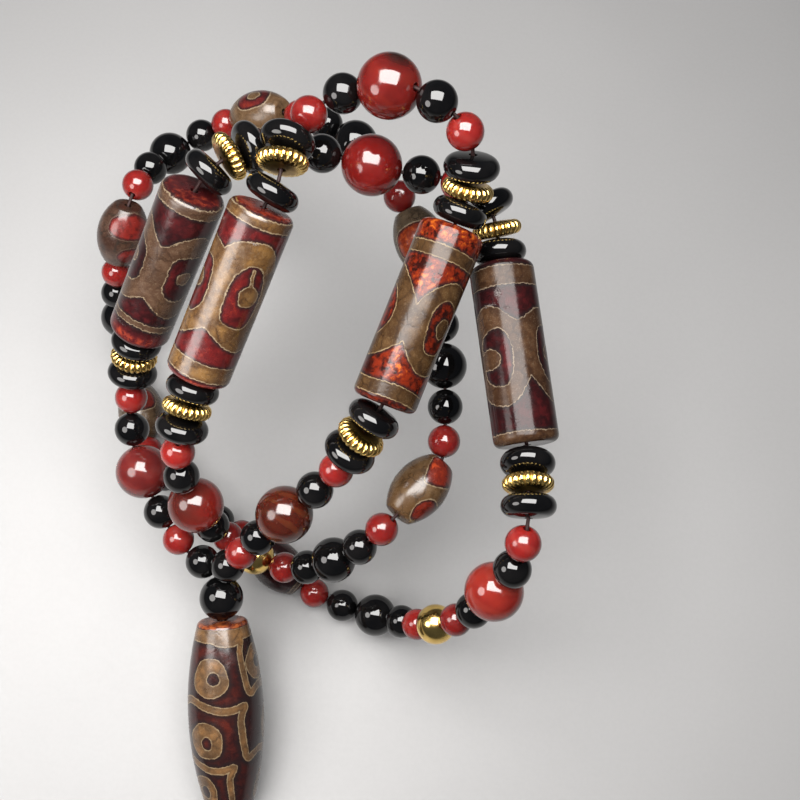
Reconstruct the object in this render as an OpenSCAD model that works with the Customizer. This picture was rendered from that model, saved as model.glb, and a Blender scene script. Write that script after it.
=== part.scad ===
/* [Small beads] */
// Diameter of a small black bead
black_d = 8; // [7:0.1:9]
// Diameter of a small red bead
red_d = 7.4; // [6.6:0.1:8.2]
// Diameter of a gold ball
gold_ball_d = 9.2; // [8.2:0.1:10.2]

/* [Large beads] */
// Diameter of a large red bead
large_red_d = 12.7; // [11.5:0.1:14]
// Diameter of a large black bead
large_black_d = 10.4; // [9.4:0.1:11.4]
// Diameter of the black bead that both strands go down through
junction_d = 10.4; // [9.4:0.1:11.4]

/* [Rondelles] */
// Diameter of a rondelle
rondelle_d = 11.2; // [10.2:0.1:12]
// Length of a rondelle along the string
rondelle_w = 4.9; // [4.6:0.1:5.6]
// Radius of a rondelle's rounded rim
rondelle_rim_r = 2.2; // [1.6:0.1:2.2]

/* [Gold spacers] */
// Diameter of a spacer over its ribs
spacer_d = 10.5; // [9.5:0.1:11.5]
// Length of a spacer along the string
spacer_w = 3.5; // [3.3:0.1:4.2]
// Radius of a spacer's rounded rim
spacer_rim_r = 1.5; // [1:0.1:1.5]
// Number of ribs round a spacer
spacer_ribs = 22; // [16:2:28]

/* [Tube dzi] */
// Diameter of a tube dzi
tube_d = 13.5; // [12:0.1:15]
// Length of a tube dzi
tube_l = 38; // [34:0.5:42]
// Radius of a tube dzi's rounded edges
tube_edge_r = 1.5; // [0.8:0.1:2.5]

/* [Oval dzi] */
// Largest diameter of an oval dzi
oval_d = 12; // [11:0.1:13]
// Length of an oval dzi
oval_l = 15.5; // [14:0.1:17]
// Diameter of an oval dzi at its ends
oval_end_d = 6.4; // [5.4:0.1:7.4]
// Radius of an oval dzi's rounded edges
oval_edge_r = 0.8; // [0.4:0.1:1.2]

/* [Pendant dzi] */
// Largest diameter of the pendant
pendant_d = 18; // [16:0.1:20]
// Length of the pendant
pendant_l = 44; // [38:0.5:50]
// Diameter of the pendant at its ends
pendant_end_d = 11.6; // [10:0.1:13]
// Radius of the pendant's rounded edges
pendant_edge_r = 1; // [0.5:0.1:2]

/* [Thread and gaps] */
// Diameter of the thread
thread_d = 0.8; // [0.6:0.05:0.9]
// Bore of every bead on the string
bead_bore_d = 1.8; // [1.6:0.1:2.2]
// Bore of the junction bead and the pendant, which hold the thread doubled
drop_bore_d = 2.6; // [2.4:0.1:3]
// Diameter of the knot below the pendant
knot_d = 4.2; // [3.8:0.1:5]
// Smallest gap between two beads that follow each other
bead_gap = 0.15; // [0.12:0.01:0.3]
// Gap between the point where the strands meet and the first bead of each
strand_gap = 1.2; // [1.1:0.1:2]
// Gap between that point and the junction bead
junction_gap = 0.7; // [0.6:0.1:1.2]

/* [Hidden] */

// Beads of one strand, from the junction to the large black bead in the middle
STRAND = [
    "black", "red", "black", "large_red", "black", "red",
    "rondelle", "spacer", "rondelle", "tube", "rondelle", "spacer", "rondelle",
    "red", "black", "large_red", "black", "red",
    "rondelle", "spacer", "rondelle", "tube", "rondelle", "spacer", "rondelle",
    "red", "black", "large_red", "black", "red", "gold_ball", "red", "black",
    "large_black", "black", "red", "oval", "red", "black",
    "large_black", "black", "red", "oval", "red", "black",
    "large_black", "black", "red", "oval", "red", "black"
];
// The other strand mirrors the first
STRING = concat(STRAND, ["large_black"], [for (k = [len(STRAND) - 1:-1:0]) STRAND[k]]);

// Route of the string, from the junction round the whole loop and back, as it lies draped
STRING_ROUTE = [
    [-21, -80, -51], [-30, -76, -51], [-40, -65, -46], [-46, -54, -41], [-47, -42, -32], [-45, -34, -21],
    [-33, -12, 7], [-30, -8, 9], [-26, -4, 9], [-22, -1, 8], [-15, 0, 7], [6, -1, 6],
    [14, 0, 5], [22, -1, 4], [26, -5, 3], [28, -9, 1], [29, -13, 0], [40, -50, -5],
    [41, -58, -4], [42, -65, -4], [42, -71, -8], [40, -77, -22], [34, -83, -39], [26, -84, -54],
    [23, -83, -61], [15, -82, -69], [0, -79, -70], [-12, -73, -65], [-21, -67, -67], [-30, -64, -70],
    [-39, -59, -69], [-48, -51, -66], [-53, -39, -70], [-58, -27, -71], [-61, -20, -63], [-61, -15, -49],
    [-58, -7, -32], [-56, 2, -27], [-55, 11, -32], [-53, 20, -39], [-43, 26, -35], [-28, 26, -23],
    [-12, 21, -17], [-3, 15, -15], [3, 9, -15], [16, -9, -19], [23, -34, -25], [25, -51, -28],
    [23, -57, -27], [18, -63, -27], [13, -69, -31], [9, -72, -37], [2, -75, -45], [-8, -76, -55],
    [-15, -74, -58], [-21, -71, -54], [-25, -70, -43], [-29, -66, -31], [-31, -61, -23], [-30, -58, -16],
    [-28, -47, -9], [-18, -17, 13], [-16, -13, 15], [-16, -8, 16], [-16, -3, 16], [-12, 4, 16],
    [-5, 8, 19], [5, 6, 26], [14, 2, 26], [19, 0, 21], [20, -4, 16], [20, -7, 13],
    [19, -11, 10], [11, -46, -2], [9, -51, -4], [7, -54, -7], [5, -57, -10], [3, -60, -16],
    [-3, -65, -22], [-10, -71, -31], [-17, -77, -42], [-21, -80, -51]
];
// Direction in which the junction bead and the pendant lie, away from the string
DROP = [20, -93, -33];

// Sides, steps and clearances of the construction
ROUTE_STEPS = 8;
ROUTE_TAIL = 60;
CLOSING_STEPS = 6;
ROUND_SIDES = 48;
BORE_SIDES = 24;
ARC_STEPS = 8;
THREAD_SIDES = 6;
BEND_ROOM = 1.1;
THREAD_INSET = 0.4;
THREAD_PAIR_GAP = 0.1;
RIB_OVERLAP = 1.05;
DRILL_PAST = 1;

JUNCTION = STRING_ROUTE[0];
drop_axis = DROP / norm(DROP);
junction_top = junction_gap;
pendant_top = junction_top + junction_d + bead_gap;
knot_top = pendant_top + pendant_l + bead_gap;
knot_socket = knot_d / 3;
knot_sink = knot_d / 4;
thread_end = knot_top + knot_socket - bead_gap;

// Radius of the domed faces of a disc whose faces run tangent into its rounded rim
function dome_rise(d, w, rim) = ((d / 2 - rim) ^ 2 - (w / 2 - rim) ^ 2) / (2 * (w / 2 - rim));
function dome_r(d, w, rim) = w / 2 + dome_rise(d, w, rim);
// Radius of a barrel's long arc, and how far out its rounded edge is centred
function belly_r(d, l, end_d) = (l ^ 2 + (d - end_d) ^ 2) / (4 * (d - end_d));
function barrel_edge(d, l, end_d, edge) =
    let (belly = belly_r(d, l, end_d))
    d / 2 - belly + sqrt((belly - edge) ^ 2 - (l / 2 - edge) ^ 2);

// Kind of bead, its length on the string, the flat land round its bore and the curve past the land
BEADS = [
    ["black", black_d, 0, black_d / 2],
    ["red", red_d, 0, red_d / 2],
    ["large_red", large_red_d, 0, large_red_d / 2],
    ["large_black", large_black_d, 0, large_black_d / 2],
    ["gold_ball", gold_ball_d, 0, gold_ball_d / 2],
    ["rondelle", rondelle_w, 0, dome_r(rondelle_d, rondelle_w, rondelle_rim_r)],
    ["spacer", spacer_w, 0, dome_r(spacer_d, spacer_w, spacer_rim_r)],
    ["tube", tube_l, tube_d / 2 - tube_edge_r, tube_edge_r],
    ["oval", oval_l, barrel_edge(oval_d, oval_l, oval_end_d, oval_edge_r), oval_edge_r]
];
function bead_row(kind) = BEADS[search([kind], BEADS)[0]];
function bead_length(kind) = bead_row(kind)[1];

// Room that a bead's end needs beside its bore when its axis leans by the angle lean
function end_room(kind, lean) = bead_row(kind)[2] * sin(lean) + bead_row(kind)[3] * (1 - cos(lean));
function gap_after(kind, next, bend) =
    bead_gap + BEND_ROOM * (end_room(kind, bend / 2) + end_room(next, bend / 2));

// Centripetal spline: the point at the share u of the middle stretch of four points
function between(a, b, ta, tb, t) = a + (b - a) * ((t - ta) / (tb - ta));
function spline_point(p, u) =
    let (t1 = sqrt(norm(p[1] - p[0])))
    let (t2 = t1 + sqrt(norm(p[2] - p[1])))
    let (t3 = t2 + sqrt(norm(p[3] - p[2])))
    let (t = t1 + (t2 - t1) * u)
    let (a1 = between(p[0], p[1], 0, t1, t))
    let (a2 = between(p[1], p[2], t1, t2, t))
    let (a3 = between(p[2], p[3], t2, t3, t))
    let (b1 = between(a1, a2, 0, t2, t))
    let (b2 = between(a2, a3, t1, t3, t))
    between(b1, b2, t1, t2, t);

// The route as a line of short stretches, with a straight tail so that a walk never runs out
function route_line(enlarged) =
    let (r = STRING_ROUTE * enlarged, n = len(r))
    let (p = concat([2 * r[0] - r[1]], r, [2 * r[n - 1] - r[n - 2]]))
    let (line = [for (k = [0:n - 2]) for (step = [0:ROUTE_STEPS - 1])
        spline_point([p[k], p[k + 1], p[k + 2], p[k + 3]], step / ROUTE_STEPS)])
    let (last = line[len(line) - 1])
    concat(line, [r[n - 1], r[n - 1] + unit(r[n - 1] - last) * ROUTE_TAIL]);
function unit(v) = v / norm(v);

// First point of the line s, from its stretch i on, at the distance d from p: [stretch, point]
function reach(s, i, p, d) =
    norm(s[i + 1] - p) < d && i < len(s) - 2 ? reach(s, i + 1, p, d) :
    let (a = s[i] - p, b = s[i + 1] - s[i])
    let (half = a * b, square = b * b)
    let (root = sqrt(max(0, half ^ 2 - square * (a * a - d ^ 2))))
    [i, s[i] + b * ((root - half) / square)];

// A bead on the line, as [start of its bore, end of its bore, stretch of the line there]
function bead_from(s, at, kind) =
    let (end = reach(s, at[0], at[1], bead_length(kind)))
    [at[1], end[1], end[0]];
function axis_of(bead) = unit(bead[1] - bead[0]);
function bend_between(a, b) = acos(min(1, axis_of(a) * axis_of(b)));
function bead_after(s, bead, kind, next, bend) =
    bead_from(s, reach(s, bead[2], bead[1], gap_after(kind, next, bend)), next);
function next_bead(s, bead, kind, next) =
    let (near = bead_after(s, bead, kind, next, 0))
    let (closer = bead_after(s, bead, kind, next, bend_between(bead, near)))
    bead_after(s, bead, kind, next, bend_between(bead, closer));
function beads_on(s) =
    [for (
        k = 0, bead = bead_from(s, reach(s, 0, s[0], strand_gap), STRING[0]);
        k < len(STRING);
        bead = k + 1 < len(STRING) ? next_bead(s, bead, STRING[k], STRING[k + 1]) : bead,
        k = k + 1
    ) bead];

// How far the last bead stops short of its place, and the enlargement of the route that closes it
function short_by(enlarged) =
    let (s = route_line(enlarged), n = len(s))
    let (beads = beads_on(s))
    (s[n - 2] - beads[len(beads) - 1][1]) * unit(s[n - 2] - s[n - 3]) - strand_gap;
function closing(a, short_a, b, short_b, steps) =
    steps == 0 || abs(short_b - short_a) < 1e-9 ? b :
    let (c = b - short_b * (b - a) / (short_b - short_a))
    closing(b, short_b, c, short_by(c), steps - 1);
route_scale = closing(1, short_by(1), 1.01, short_by(1.01), CLOSING_STEPS);
BEAD_PLACES = beads_on(route_line(route_scale));
junction_at = JUNCTION * route_scale;

// Points of an arc round the centre c, after its first point, and the half outlines of the beads
function arc(c, r, from, to) =
    [for (k = [1:ARC_STEPS]) let (a = from + (to - from) * k / ARC_STEPS) c + r * [cos(a), sin(a)]];
function flipped(points) = [for (k = [len(points) - 1:-1:0]) [points[k][0], -points[k][1]]];
function whole(upper) = concat(upper, flipped(upper));
function domed_outline(d, w, rim) =
    let (rise = dome_rise(d, w, rim))
    let (turn = atan2(rise, d / 2 - rim))
    whole(concat(
        [[0, w / 2]],
        arc([0, -rise], w / 2 + rise, 90, turn),
        arc([d / 2 - rim, 0], rim, turn, turn / ARC_STEPS)
    ));
function tube_outline(d, l, edge) =
    whole(concat([[0, l / 2]], [[d / 2 - edge, l / 2]], arc([d / 2 - edge, l / 2 - edge], edge, 90, 0)));
function barrel_outline(d, l, end_d, edge) =
    let (belly = belly_r(d, l, end_d))
    let (edge_x = barrel_edge(d, l, end_d, edge))
    let (turn = atan2(l / 2 - edge, edge_x - d / 2 + belly))
    whole(concat(
        [[0, l / 2], [edge_x, l / 2]],
        arc([edge_x, l / 2 - edge], edge, 90, turn),
        arc([d / 2 - belly, 0], belly, turn, turn / (2 * ARC_STEPS))
    ));

// Lays a piece that is modelled along z at the point p, along the direction d
module lay(p, d) {
    translate(p)
        rotate([0, acos(d[2] / norm(d)), atan2(d[1], d[0])])
            children();
}

module drilled(l, bore) {
    difference() {
        children();
        cylinder(d = bore, h = l + 2 * DRILL_PAST, center = true, $fn = BORE_SIDES);
    }
}

module ball(d, bore) {
    drilled(d, bore)
        sphere(d = d, $fn = ROUND_SIDES);
}

module turned(outline, l, bore) {
    drilled(l, bore)
        rotate_extrude($fn = ROUND_SIDES)
            polygon(outline);
}

// Ribs are round bars set side by side round the rim, rounded off with it
module ribbed_disc() {
    rib_share = PI * RIB_OVERLAP / spacer_ribs;
    rib_r = spacer_d / 2 * rib_share / (1 + rib_share);
    drilled(spacer_w, bead_bore_d)
        intersection() {
            linear_extrude(height = spacer_w, center = true) {
                circle(d = spacer_d - 2 * rib_r, $fn = ROUND_SIDES);
                for (k = [0:spacer_ribs - 1])
                    rotate(360 / spacer_ribs * k)
                        translate([spacer_d / 2 - rib_r, 0])
                            circle(r = rib_r, $fn = BORE_SIDES);
            }
            rotate_extrude($fn = ROUND_SIDES)
                polygon(domed_outline(spacer_d, spacer_w, spacer_rim_r));
        }
}

module bead_shape(kind) {
    if (kind == "rondelle")
        turned(domed_outline(rondelle_d, rondelle_w, rondelle_rim_r), rondelle_w, bead_bore_d);
    else if (kind == "spacer")
        ribbed_disc();
    else if (kind == "tube")
        turned(tube_outline(tube_d, tube_l, tube_edge_r), tube_l, bead_bore_d);
    else if (kind == "oval")
        turned(barrel_outline(oval_d, oval_l, oval_end_d, oval_edge_r), oval_l, bead_bore_d);
    else
        ball(bead_length(kind), bead_bore_d);
}

module bead_at(k) {
    lay((BEAD_PLACES[k][0] + BEAD_PLACES[k][1]) / 2, axis_of(BEAD_PLACES[k]))
        bead_shape(STRING[k]);
}

function places_of(kind) = [for (k = [0:len(STRING) - 1]) if (STRING[k] == kind) k];

module tube_dzi(number) {
    color("saddlebrown")
        bead_at(places_of("tube")[number - 1]);
}

module oval_dzi(number) {
    color("peru")
        bead_at(places_of("oval")[number - 1]);
}

module large_red(number) {
    color("firebrick")
        bead_at(places_of("large_red")[number - 1]);
}

module large_black(number) {
    color("black")
        bead_at(places_of("large_black")[number - 1]);
}

module gold_ball(number) {
    color("gold")
        bead_at(places_of("gold_ball")[number - 1]);
}

module gold_spacer(number) {
    color("goldenrod")
        bead_at(places_of("spacer")[number - 1]);
}

module black_rondelles() {
    color("black")
        for (k = places_of("rondelle"))
            bead_at(k);
}

module small_black_beads() {
    color("black")
        for (k = places_of("black"))
            bead_at(k);
}

module small_red_beads() {
    color("red")
        for (k = places_of("red"))
            bead_at(k);
}

// Places a piece of the drop, at its distance along the drop from where the strands meet
module on_drop(distance) {
    lay(junction_at + drop_axis * distance, drop_axis)
        children();
}

module junction_bead() {
    color("black")
        on_drop(junction_top + junction_d / 2)
            ball(junction_d, drop_bore_d);
}

module pendant_dzi() {
    outline = barrel_outline(pendant_d, pendant_l, pendant_end_d, pendant_edge_r);
    color("sienna")
        on_drop(pendant_top + pendant_l / 2)
            turned(outline, pendant_l, drop_bore_d);
}

// A ball cut flat on top, with a socket for the ends of the thread
module end_knot() {
    color("dimgray")
        on_drop(knot_top)
            difference() {
                translate([0, 0, knot_sink])
                    sphere(d = knot_d, $fn = ROUND_SIDES);
                translate([-knot_d, -knot_d, -knot_d])
                    cube([2 * knot_d, 2 * knot_d, knot_d]);
                translate([0, 0, -DRILL_PAST])
                    cylinder(d = drop_bore_d, h = knot_socket + DRILL_PAST, $fn = BORE_SIDES);
            }
}

// The thread goes up through the drop, round the string and down again beside itself
strands_across = axis_of(BEAD_PLACES[0]) + axis_of(BEAD_PLACES[len(STRING) - 1]);
strand_side = unit(cross(drop_axis, cross(strands_across, drop_axis)));
strand_offset = (thread_d + THREAD_PAIR_GAP) / 2;
function drop_point(distance, side) =
    junction_at + drop_axis * distance + strand_side * side * strand_offset;
// One ring of the thread: [centre, direction]
THREAD_RINGS = concat(
    [for (d = [thread_end, junction_top + THREAD_INSET]) [drop_point(d, 1), -drop_axis]],
    [for (bead = BEAD_PLACES, end = [0, 1])
        [bead[end] + axis_of(bead) * (end == 0 ? THREAD_INSET : -THREAD_INSET), axis_of(bead)]],
    [for (d = [junction_top + THREAD_INSET, thread_end]) [drop_point(d, -1), drop_axis]]
);

// A side direction for each ring, carried from ring to ring without twist
function square_to(v, d) = unit(v - d * (v * d));
function carried_sides(rings) =
    [for (
        k = 0, side = square_to([1, 0, 0], rings[0][1]);
        k < len(rings);
        side = k + 1 < len(rings) ? square_to(side, rings[k + 1][1]) : side,
        k = k + 1
    ) side];

module swept(rings, d, sides) {
    side = carried_sides(rings);
    points = [for (k = [0:len(rings) - 1]) for (s = [0:sides - 1])
        let (a = 360 * s / sides)
        rings[k][0] + d / 2 * (cos(a) * side[k] + sin(a) * cross(rings[k][1], side[k]))];
    walls = [for (k = [0:len(rings) - 2]) for (s = [0:sides - 1])
        let (t = (s + 1) % sides)
        for (face = [
            [k * sides + s, (k + 1) * sides + s, (k + 1) * sides + t],
            [k * sides + s, (k + 1) * sides + t, k * sides + t]
        ]) face];
    first_cap = [for (s = [0:sides - 1]) s];
    last_cap = [for (s = [sides - 1:-1:0]) (len(rings) - 1) * sides + s];
    polyhedron(points, concat(walls, [first_cap], [last_cap]));
}

module thread() {
    color("maroon")
        swept(THREAD_RINGS, thread_d, THREAD_SIDES);
}

pendant_dzi();
junction_bead();
end_knot();
thread();
tube_dzi(1);  // tube_dzi_1
tube_dzi(2);  // tube_dzi_2
tube_dzi(3);  // tube_dzi_3
tube_dzi(4);  // tube_dzi_4
oval_dzi(1);  // oval_dzi_1
oval_dzi(2);  // oval_dzi_2
oval_dzi(3);  // oval_dzi_3
oval_dzi(4);  // oval_dzi_4
oval_dzi(5);  // oval_dzi_5
oval_dzi(6);  // oval_dzi_6
large_red(1);  // large_red_1
large_red(2);  // large_red_2
large_red(3);  // large_red_3
large_red(4);  // large_red_4
large_red(5);  // large_red_5
large_red(6);  // large_red_6
large_black(1);  // large_black_1
large_black(2);  // large_black_2
large_black(3);  // large_black_3
large_black(4);  // large_black_4
large_black(5);  // large_black_5
large_black(6);  // large_black_6
large_black(7);  // large_black_7
gold_ball(1);  // gold_ball_1
gold_ball(2);  // gold_ball_2
gold_spacer(1);  // gold_spacer_1
gold_spacer(2);  // gold_spacer_2
gold_spacer(3);  // gold_spacer_3
gold_spacer(4);  // gold_spacer_4
gold_spacer(5);  // gold_spacer_5
gold_spacer(6);  // gold_spacer_6
gold_spacer(7);  // gold_spacer_7
gold_spacer(8);  // gold_spacer_8
black_rondelles();
small_black_beads();
small_red_beads();
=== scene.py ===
import bpy
import numpy as np
from mathutils import Matrix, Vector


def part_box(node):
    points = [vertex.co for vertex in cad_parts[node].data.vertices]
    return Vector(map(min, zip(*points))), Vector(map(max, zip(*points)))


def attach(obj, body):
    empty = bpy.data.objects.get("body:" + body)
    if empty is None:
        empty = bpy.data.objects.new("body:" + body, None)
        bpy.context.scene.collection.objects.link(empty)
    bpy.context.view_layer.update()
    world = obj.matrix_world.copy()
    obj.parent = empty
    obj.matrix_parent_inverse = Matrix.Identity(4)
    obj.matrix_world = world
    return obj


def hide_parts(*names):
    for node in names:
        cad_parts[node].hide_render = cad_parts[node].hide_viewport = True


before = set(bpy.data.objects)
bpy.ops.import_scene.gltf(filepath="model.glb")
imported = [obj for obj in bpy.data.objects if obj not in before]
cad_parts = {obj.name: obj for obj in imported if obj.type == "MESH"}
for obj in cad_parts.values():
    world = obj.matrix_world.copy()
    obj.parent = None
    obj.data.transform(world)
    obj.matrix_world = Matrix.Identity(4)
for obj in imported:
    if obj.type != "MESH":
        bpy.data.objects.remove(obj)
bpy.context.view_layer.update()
mm = 0.001   # every length below is in millimetres, and made metres where a mesh is written


# Camera at the photograph's viewing angle, and what stands round the necklace
view = {
    "place": (14, -108, 192),
    "right": (0.9864, 0.1567, 0.0490),
    "up": (-0.1642, 0.9415, 0.2945),
    "forward": (0, 0.2985, -0.9544),
    "lens": 45.45,
}
light = {
    "softboxPlace": (-15, -8, 277),
    "softboxSize": (320, 220),
    "softboxPower": 4.4,
    "softboxColour": (1.0, 0.985, 0.965),
    "lampPlace": (-137, -117, 88),
    "lampAim": (-10, -40, -10),
    "lampAcross": 110,
    "lampPower": 0.25,
    "lampColour": (1.0, 0.97, 0.94),
    "roomColour": (0.80, 0.86, 1.0),
    "roomStrength": 0.09,
    "fillPlace": (-90, -118, 95),
    "fillAim": (-60, -70, -76),
    "fillAcross": 170,
    "fillPower": 0.8,
    "floorColour": (0.167, 0.166, 0.166),
    "floorHeight": -76.9,
    "floorReach": 1500,
}


def unit(v):
    return v / np.linalg.norm(v)


def lookAlong(right, up, forward, place):
    turn = np.array([right, up, -np.array(forward)]).T
    turn = np.linalg.qr(turn)[0] * np.sign(np.diag(np.linalg.qr(turn)[1]))   # square the three directions
    matrix = Matrix(turn.tolist()).to_4x4()
    matrix.translation = np.array(place) * mm
    return matrix


def addCamera():
    data = bpy.data.cameras.new("camera")
    data.lens = view["lens"]
    data.sensor_width = 36
    data.clip_start = 0.01
    camera = bpy.data.objects.new("camera", data)
    camera.matrix_world = lookAlong(view["right"], view["up"], view["forward"], view["place"])
    bpy.context.collection.objects.link(camera)
    bpy.context.scene.camera = camera


def addLight(name, place, aim, shape, size, power, colour, mirrored=True):
    data = bpy.data.lights.new(name, "AREA")
    data.shape = shape
    data.size = size[0] * mm
    data.size_y = size[1] * mm
    data.energy = power
    data.color = colour
    lamp = bpy.data.objects.new(name, data)
    forward = unit(np.array(aim, float) - np.array(place, float))
    side = unit(np.cross(forward, (0, 1, 0.01)))
    lamp.matrix_world = lookAlong(side, np.cross(side, forward), forward, place)
    lamp.visible_camera = False
    lamp.visible_glossy = mirrored   # a fill is never seen as a highlight
    bpy.context.collection.objects.link(lamp)


# The drape, with the same beads, route and gaps as the part's source
drape = {
    "strand": (
        "black red black largeRed black red rondelle spacer rondelle tube rondelle spacer rondelle "
        "red black largeRed black red rondelle spacer rondelle tube rondelle spacer rondelle "
        "red black largeRed black red goldBall red black largeBlack black red oval red black "
        "largeBlack black red oval red black largeBlack black red oval red black").split(),
    "route": [
        [-21, -80, -51], [-30, -76, -51], [-40, -65, -46], [-46, -54, -41], [-47, -42, -32], [-45, -34, -21],
        [-33, -12, 7], [-30, -8, 9], [-26, -4, 9], [-22, -1, 8], [-15, 0, 7], [6, -1, 6],
        [14, 0, 5], [22, -1, 4], [26, -5, 3], [28, -9, 1], [29, -13, 0], [40, -50, -5],
        [41, -58, -4], [42, -65, -4], [42, -71, -8], [40, -77, -22], [34, -83, -39], [26, -84, -54],
        [23, -83, -61], [15, -82, -69], [0, -79, -70], [-12, -73, -65], [-21, -67, -67], [-30, -64, -70],
        [-39, -59, -69], [-48, -51, -66], [-53, -39, -70], [-58, -27, -71], [-61, -20, -63], [-61, -15, -49],
        [-58, -7, -32], [-56, 2, -27], [-55, 11, -32], [-53, 20, -39], [-43, 26, -35], [-28, 26, -23],
        [-12, 21, -17], [-3, 15, -15], [3, 9, -15], [16, -9, -19], [23, -34, -25], [25, -51, -28],
        [23, -57, -27], [18, -63, -27], [13, -69, -31], [9, -72, -37], [2, -75, -45], [-8, -76, -55],
        [-15, -74, -58], [-21, -71, -54], [-25, -70, -43], [-29, -66, -31], [-31, -61, -23], [-30, -58, -16],
        [-28, -47, -9], [-18, -17, 13], [-16, -13, 15], [-16, -8, 16], [-16, -3, 16], [-12, 4, 16],
        [-5, 8, 19], [5, 6, 26], [14, 2, 26], [19, 0, 21], [20, -4, 16], [20, -7, 13],
        [19, -11, 10], [11, -46, -2], [9, -51, -4], [7, -54, -7], [5, -57, -10], [3, -60, -16],
        [-3, -65, -22], [-10, -71, -31], [-17, -77, -42], [-21, -80, -51]],
    "drop": (20, -93, -33),
    "beadGap": 0.15,
    "bendRoom": 1.1,
    "strandGap": 1.2,
    "junctionGap": 0.7,
    "routeSteps": 8,
    "tail": 60,
    "closingSteps": 6,
}
beadSizes = {
    "black": {"across": 8.0, "long": 8.0},
    "red": {"across": 7.4, "long": 7.4},
    "largeRed": {"across": 12.7, "long": 12.7},
    "largeBlack": {"across": 10.4, "long": 10.4},
    "goldBall": {"across": 9.2, "long": 9.2},
    "rondelle": {"across": 11.2, "long": 4.9, "edge": 2.2},
    "spacer": {"across": 10.5, "long": 3.5, "edge": 1.5, "ribs": 22, "overlap": 1.05},
    "tube": {"across": 13.5, "long": 38.0, "edge": 1.5},
    "oval": {"across": 12.0, "long": 15.5, "end": 6.4, "edge": 0.8},
    "junction": {"across": 10.4, "long": 10.4},
    "pendant": {"across": 18.0, "long": 44.0, "end": 11.6, "edge": 1.0},
}
bores = {"bead": 1.8, "drop": 2.6}


def domeRadius(kind):
    size = beadSizes[kind]
    rim, half = size["across"] / 2 - size["edge"], size["long"] / 2 - size["edge"]
    return size["long"] / 2 + (rim ** 2 - half ** 2) / (2 * half)


def barrelArcs(kind):
    # radius of the long arc through the ends, and how far out the rounded edge is centred
    size = beadSizes[kind]
    sink = size["across"] - size["end"]
    belly = (size["long"] ** 2 + sink ** 2) / (4 * sink)
    reachOut = (belly - size["edge"]) ** 2 - (size["long"] / 2 - size["edge"]) ** 2
    return belly, size["across"] / 2 - belly + np.sqrt(reachOut)


def endRoom(kind, lean):
    # room beside the bore: the flat land times the sine, the curve times one less the cosine
    land, curve = 0, beadSizes[kind]["across"] / 2
    if kind in ("rondelle", "spacer"):
        curve = domeRadius(kind)
    elif kind == "tube":
        land, curve = curve - beadSizes[kind]["edge"], beadSizes[kind]["edge"]
    elif kind == "oval":
        land, curve = barrelArcs(kind)[1], beadSizes[kind]["edge"]
    return land * np.sin(lean) + curve * (1 - np.cos(lean))


def routeLine(enlarged):
    # centripetal spline: each stretch blends four points by the square roots of their distances
    route = np.array(drape["route"], float) * enlarged
    p = np.vstack([2 * route[0] - route[1], route, 2 * route[-1] - route[-2]])
    p0, p1, p2, p3 = p[:-3, None], p[1:-2, None], p[2:-1, None], p[3:, None]
    apart = lambda a, b: np.sqrt(np.linalg.norm(b - a, axis=2, keepdims=True))
    t1 = apart(p0, p1)
    t2 = t1 + apart(p1, p2)
    t3 = t2 + apart(p2, p3)
    t = t1 + (t2 - t1) * (np.arange(drape["routeSteps"]) / drape["routeSteps"])[None, :, None]
    blend = lambda a, b, ta, tb: a + (b - a) * (t - ta) / (tb - ta)
    a1, a2, a3 = blend(p0, p1, 0, t1), blend(p1, p2, t1, t2), blend(p2, p3, t2, t3)
    b1, b2 = blend(a1, a2, 0, t2), blend(a2, a3, t1, t3)
    line = blend(b1, b2, t1, t2).reshape(-1, 3)
    last = route[-1]
    return np.vstack([line, last, last + unit(last - line[-1]) * drape["tail"]])


def reach(line, i, p, d):
    # first point of the line, from its stretch i on, at the distance d from p
    while i < len(line) - 2 and np.linalg.norm(line[i + 1] - p) < d:
        i += 1
    a, b = line[i] - p, line[i + 1] - line[i]
    half, square = a @ b, b @ b
    root = np.sqrt(max(0, half ** 2 - square * (a @ a - d ** 2)))
    return i, line[i] + b * ((root - half) / square)


def beadsOn(line, words):
    # each bead spans a chord of its own length, and the gap after it grows with the bend
    i, p = reach(line, 0, line[0], drape["strandGap"])
    places = []
    for k, kind in enumerate(words):
        j, q = reach(line, i, p, beadSizes[kind]["long"])
        places.append((p, q))
        if k + 1 == len(words):
            break
        gap = drape["beadGap"]
        following = words[k + 1]
        for look in range(2):
            i2, p2 = reach(line, j, q, gap)
            q2 = reach(line, i2, p2, beadSizes[following]["long"])[1]
            bend = np.arccos(min(1, unit(q - p) @ unit(q2 - p2)))
            room = endRoom(kind, bend / 2) + endRoom(following, bend / 2)
            gap = drape["beadGap"] + drape["bendRoom"] * room
        i, p = reach(line, j, q, gap)
    return np.array(places)


def shortBy(enlarged, words):
    line = routeLine(enlarged)
    places = beadsOn(line, words)
    return (line[-2] - places[-1][1]) @ unit(line[-2] - line[-3]) - drape["strandGap"]


def closedDrape():
    words = drape["strand"] + ["largeBlack"] + drape["strand"][::-1]
    a, b = 1.0, 1.01
    shortA, shortB = shortBy(a, words), shortBy(b, words)
    for step in range(drape["closingSteps"]):
        if abs(shortB - shortA) < 1e-9:
            break
        a, b, shortA = b, b - shortB * (b - a) / (shortB - shortA), shortB
        shortB = shortBy(b, words)
    return words, beadsOn(routeLine(b), words), np.array(drape["route"][0]) * b


words, places, junction = closedDrape()
dropAxis = unit(np.array(drape["drop"], float))
cameraPlace = np.array(view["place"], float)
print("drape closed with", len(words), "beads")


# Outlines as (radius, height) from the bottom of a bead to its top
def arcLine(centre, radius, start, end, steps):
    a = np.radians(np.linspace(start, end, steps))
    return np.stack([centre[0] + radius * np.cos(a), centre[1] + radius * np.sin(a)], 1)


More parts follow.
